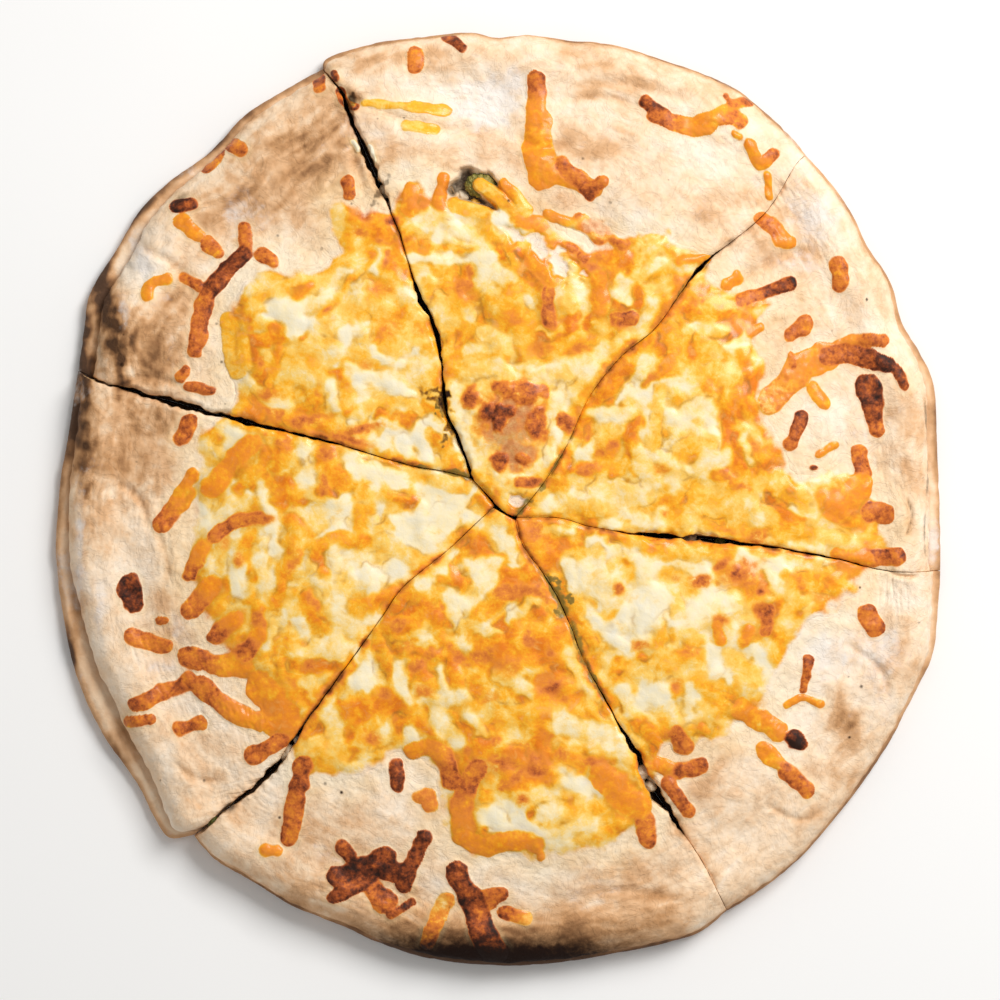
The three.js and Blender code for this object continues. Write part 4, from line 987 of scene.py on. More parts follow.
# %% Cheese: the shreds that stand out
#          orange, browned, rise in mm
SHRED_LOOKS = {
    "w": (0.05, 0.0, 0.3), "y": (0.56, 0.0, 0.3), "o": (0.86, 0.16, 0.36),
    "p": (0.5, 0.24, 0.3), "b": (0.95, 0.46, 0.4), "d": (0.95, 0.74, 0.4),
}
SHREDS = [  # look, width in pixels, then the points in pixels
    # top
    ("b", 16, 415, 52, 415, 66), ("d", 12, 445, 35, 461, 47), ("d", 9, 334, 73, 336, 78),
    ("o", 30, 538, 120, 538, 150, 541, 178), ("bo", 20, 537, 80, 536, 114),
    ("o", 22, 552, 172, 572, 180, 592, 192), ("b", 17, 562, 166, 578, 182, 590, 196),
    ("b", 13, 584, 190, 602, 184), ("w", 7, 354, 142, 359, 150), ("w", 8, 370, 148, 373, 162),
    ("d", 10, 341, 92, 346, 104, 356, 108), ("b", 22, 580, 224, 600, 236),
    ("b", 11, 612, 240, 623, 246), ("b", 9, 566, 247, 573, 250), ("b", 8, 579, 256, 585, 260),
    ("o", 11, 548, 216, 572, 224), ("d", 15, 645, 103, 663, 116),
    ("bo", 20, 656, 116, 682, 128, 708, 126), ("ob", 19, 700, 126, 722, 118, 738, 122),
    ("ob", 12, 714, 116, 732, 106, 750, 100), ("b", 8, 726, 96, 732, 104),
    ("o", 7, 733, 134, 739, 138), ("o", 13, 750, 146, 758, 166), ("ob", 13, 760, 165, 773, 154),
    ("o", 8, 767, 176, 769, 198), ("o", 9, 678, 262, 707, 260), ("y", 10, 366, 104, 408, 107),
    ("y", 14, 414, 107, 444, 111), ("y", 12, 408, 127, 436, 130), ("o", 18, 412, 192, 410, 208),
    ("o", 14, 444, 181, 440, 205), ("y", 16, 455, 206, 470, 209, 486, 214),
    ("yo", 20, 480, 186, 499, 200, 516, 219, 540, 226), ("oy", 14, 504, 186, 516, 198, 526, 212),
    ("b", 17, 618, 319, 630, 320), ("b", 13, 548, 292, 548, 323), ("o", 20, 532, 262, 550, 280),
    ("o", 18, 598, 280, 600, 308), ("w", 18, 499, 219, 502, 221),
    # right upper
    ("bo", 18, 763, 220, 787, 243), ("b", 19, 838, 266, 839, 285),
    ("bd", 15, 742, 300, 770, 291, 791, 283), ("o", 15, 727, 284, 737, 278),
    ("b", 17, 791, 335, 805, 324), ("ob", 15, 838, 346, 858, 340, 882, 341),
    ("po", 29, 770, 402, 788, 382, 806, 364, 828, 356),
    ("bd", 20, 828, 356, 850, 354, 872, 360, 886, 366), ("d", 12, 880, 362, 896, 371, 904, 386),
    ("o", 14, 812, 388, 822, 403), ("d", 29, 867, 388, 872, 400), ("db", 17, 872, 404, 876, 430),
    ("db", 15, 800, 418, 789, 445), ("o", 9, 818, 455, 834, 446), ("b", 19, 858, 452, 862, 470),
    ("o", 30, 838, 510, 857, 486), ("b", 20, 870, 512, 884, 514), ("o", 10, 749, 334, 759, 328),
    ("b", 6, 790, 356, 793, 366), ("b", 20, 868, 558, 896, 556), ("o", 16, 838, 556, 866, 558),
    # right lower
    ("b", 22, 867, 614, 875, 626), ("b", 13, 768, 610, 764, 630), ("o", 13, 748, 630, 742, 641),
    ("o", 12, 716, 626, 720, 639), ("b", 11, 808, 660, 803, 690),
    ("o", 8, 785, 706, 800, 697, 820, 704), ("o", 18, 763, 749, 785, 770),
    ("b", 18, 785, 770, 808, 790), ("o", 22, 738, 708, 778, 730), ("o", 16, 657, 763, 680, 771),
    ("b", 18, 681, 770, 701, 765), ("b", 17, 668, 783, 687, 811), ("b", 18, 677, 733, 683, 745),
    ("o", 9, 700, 726, 706, 732), ("d", 20, 794, 739, 799, 743),
    # bottom
    ("ob", 19, 412, 750, 430, 746, 446, 758, 453, 780), ("d", 15, 397, 764, 398, 785),
    ("p", 17, 419, 796, 428, 796, 429, 804), ("b", 19, 304, 764, 298, 790, 288, 838),
    ("o", 15, 267, 850, 277, 850), ("d", 16, 343, 847, 350, 855), ("b", 24, 370, 884, 384, 900),
    ("b", 14, 378, 904, 392, 900), ("d", 26, 340, 876, 362, 868, 384, 858),
    ("d", 24, 372, 866, 396, 872, 406, 874), ("d", 17, 424, 836, 414, 858, 403, 884),
    ("d", 17, 334, 896, 350, 888, 370, 876), ("d", 9, 390, 915, 412, 903),
    ("b", 20, 486, 900, 501, 895), ("bp", 15, 504, 912, 526, 918), ("d", 23, 457, 872, 470, 902),
    ("d", 29, 468, 898, 482, 928, 494, 954), ("pb", 17, 447, 900, 436, 922, 428, 944),
    ("bo", 24, 476, 770, 462, 802, 464, 834), ("o", 20, 464, 836, 484, 846, 510, 838, 536, 844),
    ("o", 9, 538, 845, 541, 856), ("b", 22, 645, 822, 648, 836), ("o", 32, 606, 778, 636, 804),
    # left lower
    ("d", 24, 130, 586, 134, 602), ("b", 9, 160, 620, 165, 620), ("b", 17, 131, 636, 165, 646),
    ("bo", 23, 187, 655, 214, 663, 244, 668), ("b", 18, 190, 681, 160, 694, 137, 704),
    ("bo", 24, 202, 686, 232, 710, 256, 720), ("b", 13, 129, 722, 150, 720),
    ("b", 15, 181, 728, 201, 723), ("o", 36, 262, 688, 274, 706, 282, 722),
    ("b", 19, 254, 755, 282, 741), ("bo", 22, 164, 522, 187, 493), ("bo", 20, 191, 611, 213, 585),
    ("bo", 16, 191, 575, 205, 545), ("bo", 17, 215, 637, 237, 617), ("bo", 18, 247, 651, 261, 633),
    ("b", 20, 181, 438, 191, 422), ("o", 22, 212, 489, 236, 460, 253, 445),
    ("o", 14, 181, 493, 193, 475), ("b", 13, 215, 536, 236, 522, 261, 517),
    # left upper
    ("b", 16, 205, 167, 217, 151), ("b", 15, 225, 142, 241, 150), ("b", 14, 318, 76, 320, 87),
    ("d", 17, 177, 206, 189, 204), ("o", 17, 181, 221, 197, 235), ("b", 15, 207, 245, 218, 253),
    ("b", 14, 245, 228, 247, 250), ("b", 16, 263, 255, 273, 261),
    ("d", 18, 245, 255, 226, 272, 209, 295), ("b", 18, 206, 298, 200, 330, 196, 350),
    ("b", 12, 185, 278, 199, 287), ("o", 14, 147, 295, 152, 283, 166, 280),
    ("y", 20, 229, 322, 233, 346, 238, 370), ("y", 12, 244, 338, 248, 366),
    ("b", 11, 181, 379, 187, 371), ("b", 12, 189, 386, 212, 390), ("b", 14, 348, 183, 350, 195),
]
for look, width, *pixels in SHREDS:
    orange, brown, rise = zip(SHRED_LOOKS[look[0]], SHRED_LOOKS[look[-1]])
    lay_shred(drawn_line(pixels), width * PIXEL, rise[0], soft=0.4, halo=0.55,
              cheese=1.0, cheddar=orange, browned=brown)
print(len(MELTED), "melted strands and", len(SHREDS), "lone shreds placed")

# %% [markdown]
# Last come the single marks: the big tan bubble at the point of the top slice with its dark
# blisters, bare white dough, burnt spots, black crumbs, scraps of the filling that came up
# through a cut, and the torn opening that the broccoli lies in.

# %% Single marks
# How orange and how browned, then the oval
BLISTERS = [
    (0.8, 0.44, 524, 392, 26, 13), (0.8, 0.42, 502, 388, 14, 8), (0.9, 0.56, 471, 399, 13, 15, 20),
    (0.9, 0.66, 488, 412, 11, 10, 40), (0.9, 0.72, 499, 420, 9, 17, 12), (0.9, 0.64, 508, 412, 9, 8),
    (0.9, 0.56, 499, 462, 13, 11), (0.9, 0.5, 523, 460, 9, 7), (0.9, 0.58, 567, 424, 11, 13, 30),
    (0.9, 0.58, 525, 482, 22, 7, 3), (0.85, 0.5, 537, 424, 13, 20), (0.8, 0.5, 530, 394, 12, 13),
    (0.8, 0.46, 545, 392, 6, 10), (0.9, 0.97, 796, 741, 13, 11), (0.9, 1, 813, 468, 6, 4),
]
BARE_DOUGH = [  # ovals only
    (521, 503, 12, 7, -40), (553, 262, 30, 12, -35), (640, 225, 40, 14), (530, 240, 26, 9, -14),
]
# How toasted, then the oval
BUBBLES = [
    (0.6, 512, 425, 42, 50), (0.62, 515, 456, 24, 20), (0.3, 600, 228, 24, 12),
]
# Juice and scraps of the filling: how green and how dark, then the oval. The dark is partly
# painted shade, where they lie down in a hole or a cut.
SCRAPS = [
    (0.1, 0.7, 434, 394, 12, 9), (0.8, 0.4, 440, 410, 10, 10), (0.2, 0.9, 446, 400, 6, 14),
    (0.5, 0.6, 449, 432, 6, 16, -20), (0.8, 0.3, 553, 582, 9, 8, -40),
    (0.8, 0.3, 563, 604, 8, 16, -25), (0, 0.7, 349, 101, 8, 12, -20), (0, 0.6, 381, 192, 6, 16, -28),
]
OPENING = (480, 193, 40, 23, -16)  # the oval of the torn opening
OPENING_DEPTH = 4.6  # mm
ACROSS_OPENING = [  # the shreds that lie across it: width, then points, in pixels
    (15, 455, 206, 470, 209, 486, 214), (19, 480, 186, 499, 200, 516, 219, 540, 226),
    (13, 504, 186, 516, 198, 526, 212), (14, 486, 222, 504, 222),
]
CRUMBS_DRAWN = 150

for toast, x, y, half_width, half_height in BUBBLES:
    where, strength = patch(x, y, half_width, half_height)
    around, pale = patch(x, y, 1.4 * half_width, 1.25 * half_height)
    paint(around, 0.75 * ease(pale, 0.1, 0.6), cheddar=0.2, browned=0.0)
    strength = ease(strength, 0.15, 0.75) * np.clip(1.0 + 0.4 * wobble[where], 0, 1)
    paint(where, strength, cheese=0.42, cheddar=0.8, toasted=toast, floured=0.0, browned=0.34)
for orange, brown, *oval in BLISTERS:
    where, strength = patch(*oval)
    strength = ease(strength, 0.25, 0.8)
    mottled = brown * (1 + 0.3 * waver[where] + 0.12 * wobble[where])
    paint(where, strength, cheese=1.0, cheddar=orange, browned=mottled)
    layer["relief"][where] += 0.2 * strength * (brown > 0.4)
for green, dark, *oval in SCRAPS:
    where, strength = patch(*oval, rough=0.6)
    speckled = strength * (1 + 1.2 * layered(MAP_X[where], MAP_Y[where], 1.5, 71, 2))
    paint(where, ease(speckled, 0.25, 0.8), green=green, sooty=dark, cheddar=0.6, browned=0.2)
for oval in BARE_DOUGH:
    where, strength = patch(*oval, rough=0.8)
    paint(where, ease(strength, 0.1, 0.9), cheese=0.1, floured=0.6, browned=0.0)
for x, y in draw.uniform(-115, 115, (CRUMBS_DRAWN, 2)):
    size, dark = draw.uniform(0.1, 0.5), draw.uniform(0.4, 1)
    if read_map(border, x, y) > 2:
        continue
    where, gap = round_spot(x, y, 1.2, 0.3)
    at_least(where, sooty=dark * ease(size - gap, -0.2, 0.2))
layer["relief"] = soften(layer["relief"], 0.35)
where, strength = patch(*OPENING, rough=0.2)
opening = ease(strength, 0.36, 0.62)
for width, *pixels in ACROSS_OPENING:
    gap, _ = from_line(on_bread(pixels), MAP_X[where], MAP_Y[where])
    opening = opening * ease(gap, 0.3 * width * PIXEL, 0.62 * width * PIXEL)
layer["dough"][where] -= OPENING_DEPTH * opening
# Painted shade: the floor of the opening is drawn dark, as it lies deep in shadow.
paint(where, opening, sooty=0.75, cheese=0.0, relief=0.0, floured=0.0)
FILM, BLANKET = 0.3, 0.95  # mm of cheese under a lone shred, and in the blanket
plain = FILM + (BLANKET - FILM) * ease(border, -3, 5)
thickness = layer["cheese"] * (plain + 0.3 * layered(MAP_X, MAP_Y, 7, 61, 2) * ease(border, 0, 4))
thickness = thickness + layer["relief"] * np.clip(layer["cheese"] * 1.5, 0, 1)
print("cheese is up to", round(float(thickness.max()), 2), "mm thick")

# %% [markdown]
# Now the meshes. Every piece of a slice is a low loaf: an upper sheet with all the detail, a
# coarse sheet under it, and a wall round both. The two sheets have different numbers of
# points, so the wall's last band is stitched: walking round both borders at once, each
# triangle steps forward on whichever border is behind.

# %% Sheets, walls and stitches
MM = 0.001


def sheet_faces(first, columns, rows, up):
    """Two triangles for each step of a grid whose points are numbered from first."""
    i, j = np.meshgrid(np.arange(columns - 1), np.arange(rows - 1), indexing="ij")
    a = (first + i * rows + j).ravel()
    b, c, d = a + 1, a + rows + 1, a + rows
    faces = np.vstack([np.column_stack([a, b, c]), np.column_stack([a, c, d])])
    return faces if up else faces[:, ::-1]


def border_of(columns, rows):
    """Numbers of a grid's border points once round: out along the first column, across the
    last row, in along the last column, and back across the first row."""
    grid = np.arange(columns * rows).reshape(columns, rows)
    return np.concatenate([grid[0], grid[1:, -1], grid[-1, -2::-1], grid[-2:0:-1, 0]])


def ring_faces(above, below):
    """Faces between two closed rings with equally many points, facing away from the middle."""
    a, b = above, below
    a2, b2 = np.roll(above, -1), np.roll(below, -1)
    return np.vstack([np.column_stack([a, b, b2]), np.column_stack([a, b2, a2])])


def stitch_faces(above, below, above_at, below_at):
    """Faces between two closed rings with different numbers of points. Every step of either
    ring has a place, the middle of its ends, and the steps are taken in that order."""
    n, m = len(above), len(below)
    above_end = np.append(above_at[1:], above_at[0] + 4)
    below_end = np.append(below_at[1:], below_at[0] + 4)
    when = np.concatenate([(above_at + above_end) / 2, (below_at + below_end) / 2])
    order = np.argsort(when, kind="stable")
    is_above = order < n
    upper = np.cumsum(is_above) - is_above
    lower = np.cumsum(~is_above) - ~is_above
    a, a2 = above[upper % n], above[(upper + 1) % n]
    b, b2 = below[lower % m], below[(lower + 1) % m]
    third = np.where(is_above, a2, b2)
    return np.column_stack([a, b, third])


def place_on_ring(columns_u, share):
    """Place of each border point of a grid, from 0 to 4: the share of the way out on the
    first side, then 1 plus u on the rim, and so on round."""
    out, back = share[0], share[-1]
    return np.concatenate([out, 1 + columns_u[1:], 3 - back[-2::-1], 4 - columns_u[-2:0:-1]])


def loaf(upper, u, share, under, under_size, bands, rough, seed):
    """Points, faces and depths of a closed loaf. upper is the grid of its top. The wall goes
    in bands from the top's border straight to the underside's, pushed in and out by noise of
    `rough` mm, and under(u, share) gives the underside at any place. Depth is 0 on the top,
    rises to 1 down the wall, and is 2 on the underside."""
    columns, rows = upper.shape[:2]
    points = [upper.reshape(-1, 3)]
    faces = [sheet_faces(0, columns, rows, True)]
    edge = border_of(columns, rows)
    ring_at = place_on_ring(u, share)
    edge_u = np.repeat(u, rows)[edge]
    edge_share = share.ravel()[edge]
    top = points[0][edge]
    foot = under(edge_u, edge_share)
    ahead = np.roll(top, -1, axis=0) - np.roll(top, 1, axis=0)
    outward = np.column_stack([ahead[:, 1], -ahead[:, 0]])
    outward /= np.maximum(np.linalg.norm(outward, axis=1), 1e-9)[:, None]
    run = np.cumsum(np.linalg.norm(np.diff(top, axis=0, prepend=top[:1]), axis=1))
    ring, total = edge, columns * rows
    depth = [np.zeros(total)]
    for band in range(1, bands + 1):
        down = band / bands
        level = top + (foot - top) * down
        push = rough * np.sin(np.pi * down) * layered(run, level[:, 2], 2.2, seed, 2)
        level[:, :2] += outward * push[:, None]
        fresh = total + np.arange(len(edge))
        points.append(level)
        depth.append(np.full(len(edge), down))
        faces.append(ring_faces(ring, fresh))
        ring, total = fresh, total + len(edge)
    under_u = np.linspace(0, 1, under_size[0])
    under_share = np.tile(np.linspace(0, 1, under_size[1]), (under_size[0], 1))
    sheet = under(np.repeat(under_u, under_size[1]), under_share.ravel())
    points.append(sheet)
    depth.append(np.full(len(sheet), 2.0))
    faces.append(sheet_faces(total, *under_size, False))
    low_edge = total + border_of(*under_size)
    faces.append(stitch_faces(ring, low_edge, ring_at, place_on_ring(under_u, under_share)))
    return np.vstack(points), np.vstack(faces), np.concatenate(depth)


def make_piece(name, points, faces, values, finish, node, slot):
    """A smooth mesh object at the origin, with one number a point for each named value."""
    mesh = bpy.data.meshes.new(name)
    mesh.vertices.add(len(points))
    mesh.vertices.foreach_set("co", (points * MM).astype(np.float32).ravel())
    mesh.loops.add(faces.size)
    mesh.loops.foreach_set("vertex_index", faces.astype(np.int32).ravel())
    mesh.polygons.add(len(faces))
    mesh.polygons.foreach_set("loop_start", np.arange(0, faces.size, 3, dtype=np.int32))
    mesh.update(calc_edges=True)
    mesh.shade_smooth()
    for key, value in values.items():
        store = mesh.attributes.new(key, "FLOAT", "POINT")
        store.data.foreach_set("value", value.astype(np.float32))
    piece = bpy.data.objects.new(name, mesh)
    bpy.context.collection.objects.link(piece)
    mesh.materials.append(finish)
    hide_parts(node)
    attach(piece, "root")
    print(name, len(points), "points,", len(faces), "triangles")


def surface_values(points, depth, names=COLOUR_LAYERS):
    """The map's colour layers read at points, and how far down the wall each point is."""
    values = {name: read_map(layer[name], points[:, 0], points[:, 1]) for name in names}
    return {**values, "depth": depth}


# %% [markdown]
# Shader maths reads best as plain expressions. A small class wraps a node's output, so that
# adding or multiplying two of them lays down the Math node that does it.

# %% A wire and a bench
class Wire:
    """A value or a colour on its way through a material's nodes."""

    def __init__(self, bench, socket):
        self.bench = bench
        self.socket = socket

    def math(self, operation, first, second):
        return self.bench.node("ShaderNodeMath", {"operation": operation},
                               {0: first, 1: second})

    def __add__(self, other):
        return self.math("ADD", self, other)

    def __sub__(self, other):
        return self.math("SUBTRACT", self, other)

    def __rsub__(self, other):
        return self.math("SUBTRACT", other, self)

    def __mul__(self, other):
        return self.math("MULTIPLY", self, other)

    __radd__ = __add__
    __rmul__ = __mul__

    def step(self, low, high):
        """0 below low, 1 above high, eased between."""
        return self.bench.node(
            "ShaderNodeMapRange",
            {"interpolation_type": "SMOOTHSTEP"},
            {0: self, 1: low, 2: high, 3: 0.0, 4: 1.0},
        )


class Bench:
    """One material, and the way to lay down any node in it."""

    def __init__(self, name):
        self.material = bpy.data.materials.new(name)
        self.material.use_nodes = True
        self.tree = self.material.node_tree
        self.tree.nodes.clear()

    def node(self, kind, settings=None, inputs=None, output=0):
        """Adds a node of this kind. Its settings are set first, among them a ramp's stops,
        then each socket gets a value, or a link if it is given a wire."""
        node = self.tree.nodes.new(kind)
        for key, value in (settings or {}).items():
            if key == "stops":
                self.set_stops(node.color_ramp, value)
            else:
                setattr(node, key, value)
        for key, value in (inputs or {}).items():
            if isinstance(value, Wire):
                self.tree.links.new(value.socket, node.inputs[key])
            else:
                node.inputs[key].default_value = value
        return Wire(self, node.outputs[output]) if len(node.outputs) else None

    def set_stops(self, ramp, stops):
        while len(ramp.elements) < len(stops):
            ramp.elements.new(1.0)
        for element, (place, colour) in zip(ramp.elements, stops):
            element.position = place
            element.color = (*as_light(colour), 1.0)

    def ramp(self, value, stops):
        return self.node("ShaderNodeValToRGB", {"stops": stops}, {0: value})

    def blend(self, factor, first, second):
        """Two colours mixed by a factor."""
        sockets = {0: factor}
        for key, colour in ((6, first), (7, second)):
            sockets[key] = colour if isinstance(colour, Wire) else (*as_light(colour), 1.0)
        settings = {"data_type": "RGBA", "clamp_factor": True}
        return self.node("ShaderNodeMix", settings, sockets, output=2)

    def value(self, name):
        """A number that the mesh carries at each point."""
        return self.node("ShaderNodeAttribute", {"attribute_name": name}, output=2)

    def noise(self, size, detail=3.0, rough=0.5, warp=0.0):
        """Noise from 0 to 1 with lumps of about size mm, fixed to the object."""
        here = self.node("ShaderNodeTexCoord", output=3)
        return self.node("ShaderNodeTexNoise", {}, {
            "Vector": here, "Scale": 1000 / size / 2, "Detail": detail,
            "Roughness": rough, "Distortion": warp})

    def finish(self, colour, roughness, height=None, bump=0.6, distance=0.0005, **sockets):
        """Lays down the shader, with a bump from a height where there is one, and gives back
        the material. A socket's name has _ for its spaces."""
        inputs = {"Base Color": colour, "Roughness": roughness}
        inputs |= {name.replace("_", " "): value for name, value in sockets.items()}
        if height is not None:
            inputs["Normal"] = self.node("ShaderNodeBump", {}, {
                "Strength": bump, "Distance": distance, "Height": height})
        shader = self.node("ShaderNodeBsdfPrincipled", {}, inputs)
        self.node("ShaderNodeOutputMaterial", {}, {"Surface": shader})
        return self.material


def as_light(colour):
    """Red, green and blue from 0 to 255 as seen, turned into amounts of light: the inverse
    of the screen's curve."""
    seen = np.asarray(colour, float) / 255
    return tuple(np.where(seen <= 0.04045, seen / 12.92, ((seen + 0.055) / 1.055) ** 2.4))


# %% [markdown]
# The top of the bread is one finish, because dough, cheese and browning melt into each
# other. The mesh says how much of each there is at a point, and noise adds what is finer
# than the mesh: mottling, flour dust, specks, pores. Colours run along ramps, from cream to
# toasted brown for the dough, and from white to deep orange for the cheese.

# %% Finish: crust and cheese
DOUGH_RAMP = [
    (0.0, (252, 233, 209)), (0.2, (246, 214, 178)), (0.38, (228, 182, 137)),
    (0.58, (198, 148, 101)), (0.78, (148, 104, 66)), (1.0, (86, 57, 35)),
]
FLOUR = (240, 233, 226)
CHEESE_RAMP = [
    (0.0, (238, 230, 208)), (0.2, (252, 232, 184)), (0.40, (254, 208, 104)),
    (0.60, (253, 180, 34)), (0.80, (246, 150, 10)), (1.0, (232, 124, 6)),
]
BROWN_RAMP = [
    (0.0, (249, 166, 52)), (0.25, (233, 138, 44)), (0.45, (205, 108, 42)),
    (0.62, (158, 76, 33)), (0.8, (100, 45, 21)), (1.0, (44, 21, 11)),
]
AMBER = (164, 106, 26)
OLIVE = (126, 112, 42)
BUTTER = (254, 200, 108)
CREAM = (250, 226, 172)
CHAR_AND_SHADE = (32, 14, 5)
CRUMB = (206, 170, 122)  # the inside of the dough, on a cut's wall
# Painted shade far down a cut, where little light reaches.
DEEP_SHADE = (74, 46, 26)  # far down a cut
WRINKLE_SHADE = (120, 84, 52)
SPECK = (104, 70, 44)


def top_finish(name):
    """Dough, cheese and browning in one material, mixed by the mesh's own values."""
    bench = Bench(name)
    mottle = bench.noise(5.0, 6.0, 0.65, 0.6) - 0.5
    blotch = bench.noise(1.8, 4.0, 0.65, 0.5) - 0.5
    grain = bench.noise(0.7, 3.0, 0.65) - 0.5
    veins = bench.noise(3.4, 4.0, 0.6, 1.4) - 0.5
    lines = 1 - (veins * veins * 900).step(0.0, 1.0)
    specks = bench.noise(1.7, 2.0, 0.5).step(0.76, 0.8)
    oily = bench.value("oily")
    toast = bench.value("toasted") + mottle * 0.42 + blotch * 0.16 + grain * 0.2
    dough = bench.ramp(toast, DOUGH_RAMP)
    dust = bench.value("floured") * 1.1 + grain * 0.8 + mottle * 0.5 - 0.2
    dough = bench.blend(dust.step(0.1, 0.95) * 0.8, dough, FLOUR)
    dough = bench.blend(oily * 0.45, dough, CREAM)
    # Painted shade in the fine wrinkles of the dough.
    dough = bench.blend(lines * 0.16 * (toast + 0.3), dough, WRINKLE_SHADE)
    dough = bench.blend(specks * 0.5, dough, SPECK)
    uneven = 1 + mottle * 1.1 + blotch * 1.1 + grain * 0.5
    orange = bench.value("cheddar") * uneven + mottle * 0.14 + blotch * 0.2 + grain * 0.06
    melted = bench.ramp(orange, CHEESE_RAMP)
    # Fat and painted shade: darker amber in the cheese's hollows and along its strands.
    melted = bench.blend(oily * (0.35 + orange * 0.5), melted, AMBER)
    melted = bench.blend((blotch + mottle * 0.6).step(0.06, 0.3) * 0.5, melted, BUTTER)
    browned = bench.value("browned")
    patchy = browned + (mottle * 0.5 + blotch * 0.9 + grain * 0.9) * browned.step(0.04, 0.5)
    melted = bench.blend(patchy.step(0.06, 0.3), melted, bench.ramp(patchy, BROWN_RAMP))
    cover = (bench.value("cheese") + grain * 0.3 + blotch * 0.3).step(0.2, 0.7)
    colour = bench.blend(cover, dough, melted)
    green = (bench.value("green") * (1 + blotch * 2 + grain * 1.6)).step(0.25, 0.8)
    colour = bench.blend(green * 0.85, colour, OLIVE)
    # Black char and crumbs, and painted shade: the front edge, the lines along the cuts, the cracks
    # and the opening.
    char_and_shade_mask = (bench.value("sooty") * (1 + grain * 0.7 + blotch * 0.5)).step(0.05, 1.0)
    colour = bench.blend(char_and_shade_mask, colour, CHAR_AND_SHADE)
    # Painted shade: a cut's wall turns from crumb colour to dark the further down it goes.
    depth = bench.value("depth")
    colour = bench.blend(depth.step(0.02, 0.2) * 0.9, colour, CRUMB)
    colour = bench.blend(depth.step(0.3, 0.9) * 0.85, colour, DEEP_SHADE)
    dull = 0.82 - cover * (0.3 + grain * 0.4) + browned * 0.1 + char_and_shade_mask * 0.3
    wet = cover * (1 - (browned * 1.8).step(0.0, 1.0)) * (1 - char_and_shade_mask) * (0.38 + blotch * 1.5)
    pores = bench.noise(0.6, 3.0, 0.6) * 0.5 + bench.noise(2.0, 3.0, 0.55)
    pores = pores - lines * (1 - cover) * 0.12
    pores = pores * (1 - cover * 0.45)
    return bench.finish(colour, dull, pores, 0.8, Specular_IOR_Level=0.22, Coat_Weight=wet,
                        Coat_Roughness=0.2)


top_look = top_finish("crust_and_cheese")

# %% [markdown]
# The section of the upper round, from the middle out: nearly flat over the filling, down to
# where the two rounds are pressed together, up again to the puffed rim, and round the rim's
# edge. The last part is steeper than a height map can follow, so the rows there are placed
# along the section's own length.

# %% The upper round's section
LID_SECTION = curve_through(  # distance in from the edge, and height
    [[160, 16.6], [140, 16.6], [75, 17.0], [42, 16.2], [25, 14.2], [15, 12.4], [9, 13.1],
     [5, 12.6], [2.9, 11.5], [1.2, 9.9], [0.3, 8.3], [0, 7.0]], 4000)
EDGE_BAND = 6.0  # the rim's edge starts this far in
LID_FOOT = (1.5, 5.4)  # how far in and how high the underside starts
POCKET_IN = [17, 24, 33, 45, 160]  # the pocket's ceiling: distance in from the rim
POCKET_HIGH = [6.0, 6.6, 8.9, 11.6, 11.6]  # and height
LID_LINES = 364  # lines of points from tip to rim
LID_COARSE, LID_FINE, LID_EDGE = 12, 140, 18  # rows under the cheese, outside it, on the edge
OVERLAP = 14.0  # the dough stays fine this far in under the cheese
SHOULDER = 1.4  # the cut edges are rounded by this much

flat_part = LID_SECTION[LID_SECTION[:, 0] >= EDGE_BAND][::-1]
edge_part = even_steps(LID_SECTION[LID_SECTION[:, 0] <= EDGE_BAND], LID_EDGE)


def lines_across(count):
    """u of each line of points: closer together near the sides, where the edge rounds."""
    t = np.linspace(0, 1, count)
    return t - 0.45 * np.sin(2 * np.pi * t) / (2 * np.pi)


def bumps_at(slice_, x, y):
    """Height of the slice's bubbles and hollows: bells of the distance to their middles."""
    return sum(h * np.exp(-((x - bx) ** 2 + (y - by) ** 2) / r**2)
               for bx, by, r, h in slice_["bumps"])


def shoulder(plan, u, distance, x, y):
    """How far a cut edge has rounded down: a quarter circle over the last millimetre or so,
    and crumbs that stand up and fall away beside it where the cut is open. A shut cut is a
    softer crease."""
    side, opened = plan.from_side(u, distance), ease(plan.gap(u, distance), 0.3, 1.2)
    crumbs = noise(x, y, 2.3, 75) + 0.8 * noise(x, y, 5.0, 76)
    near = 1 - np.clip((side + 0.3 * crumbs) / SHOULDER, 0, 1)
    rounded = SHOULDER * (0.5 + 0.35 * opened) * (1 - np.sqrt(1 - near**2 * 0.96))
    return rounded - (0.06 + 0.22 * opened) * crumbs * (1 - ease(side, 0.3, 2.2))


def lid_height(name, u, distance, x, y):
    """Height of the bare upper round inside its edge band."""
    slice_ = SLICES[name]
    from_edge = distance - along(slice_["lip"], u)
    settled = ease(from_edge, 0, 12)
    height = np.interp(from_edge, flat_part[:, 0], flat_part[:, 1])
    height = height + settled * (slice_["lift"] + bumps_at(slice_, x, y))
    return height + read_map(layer["dough"], x, y)


def cheese_end(name, u):
    """Distance from the rim at which a slice's own cheese piece stops."""
    return torn_plans[name].length(u) * (1 - along(SLICES[name]["reach"], u)) - 4.0


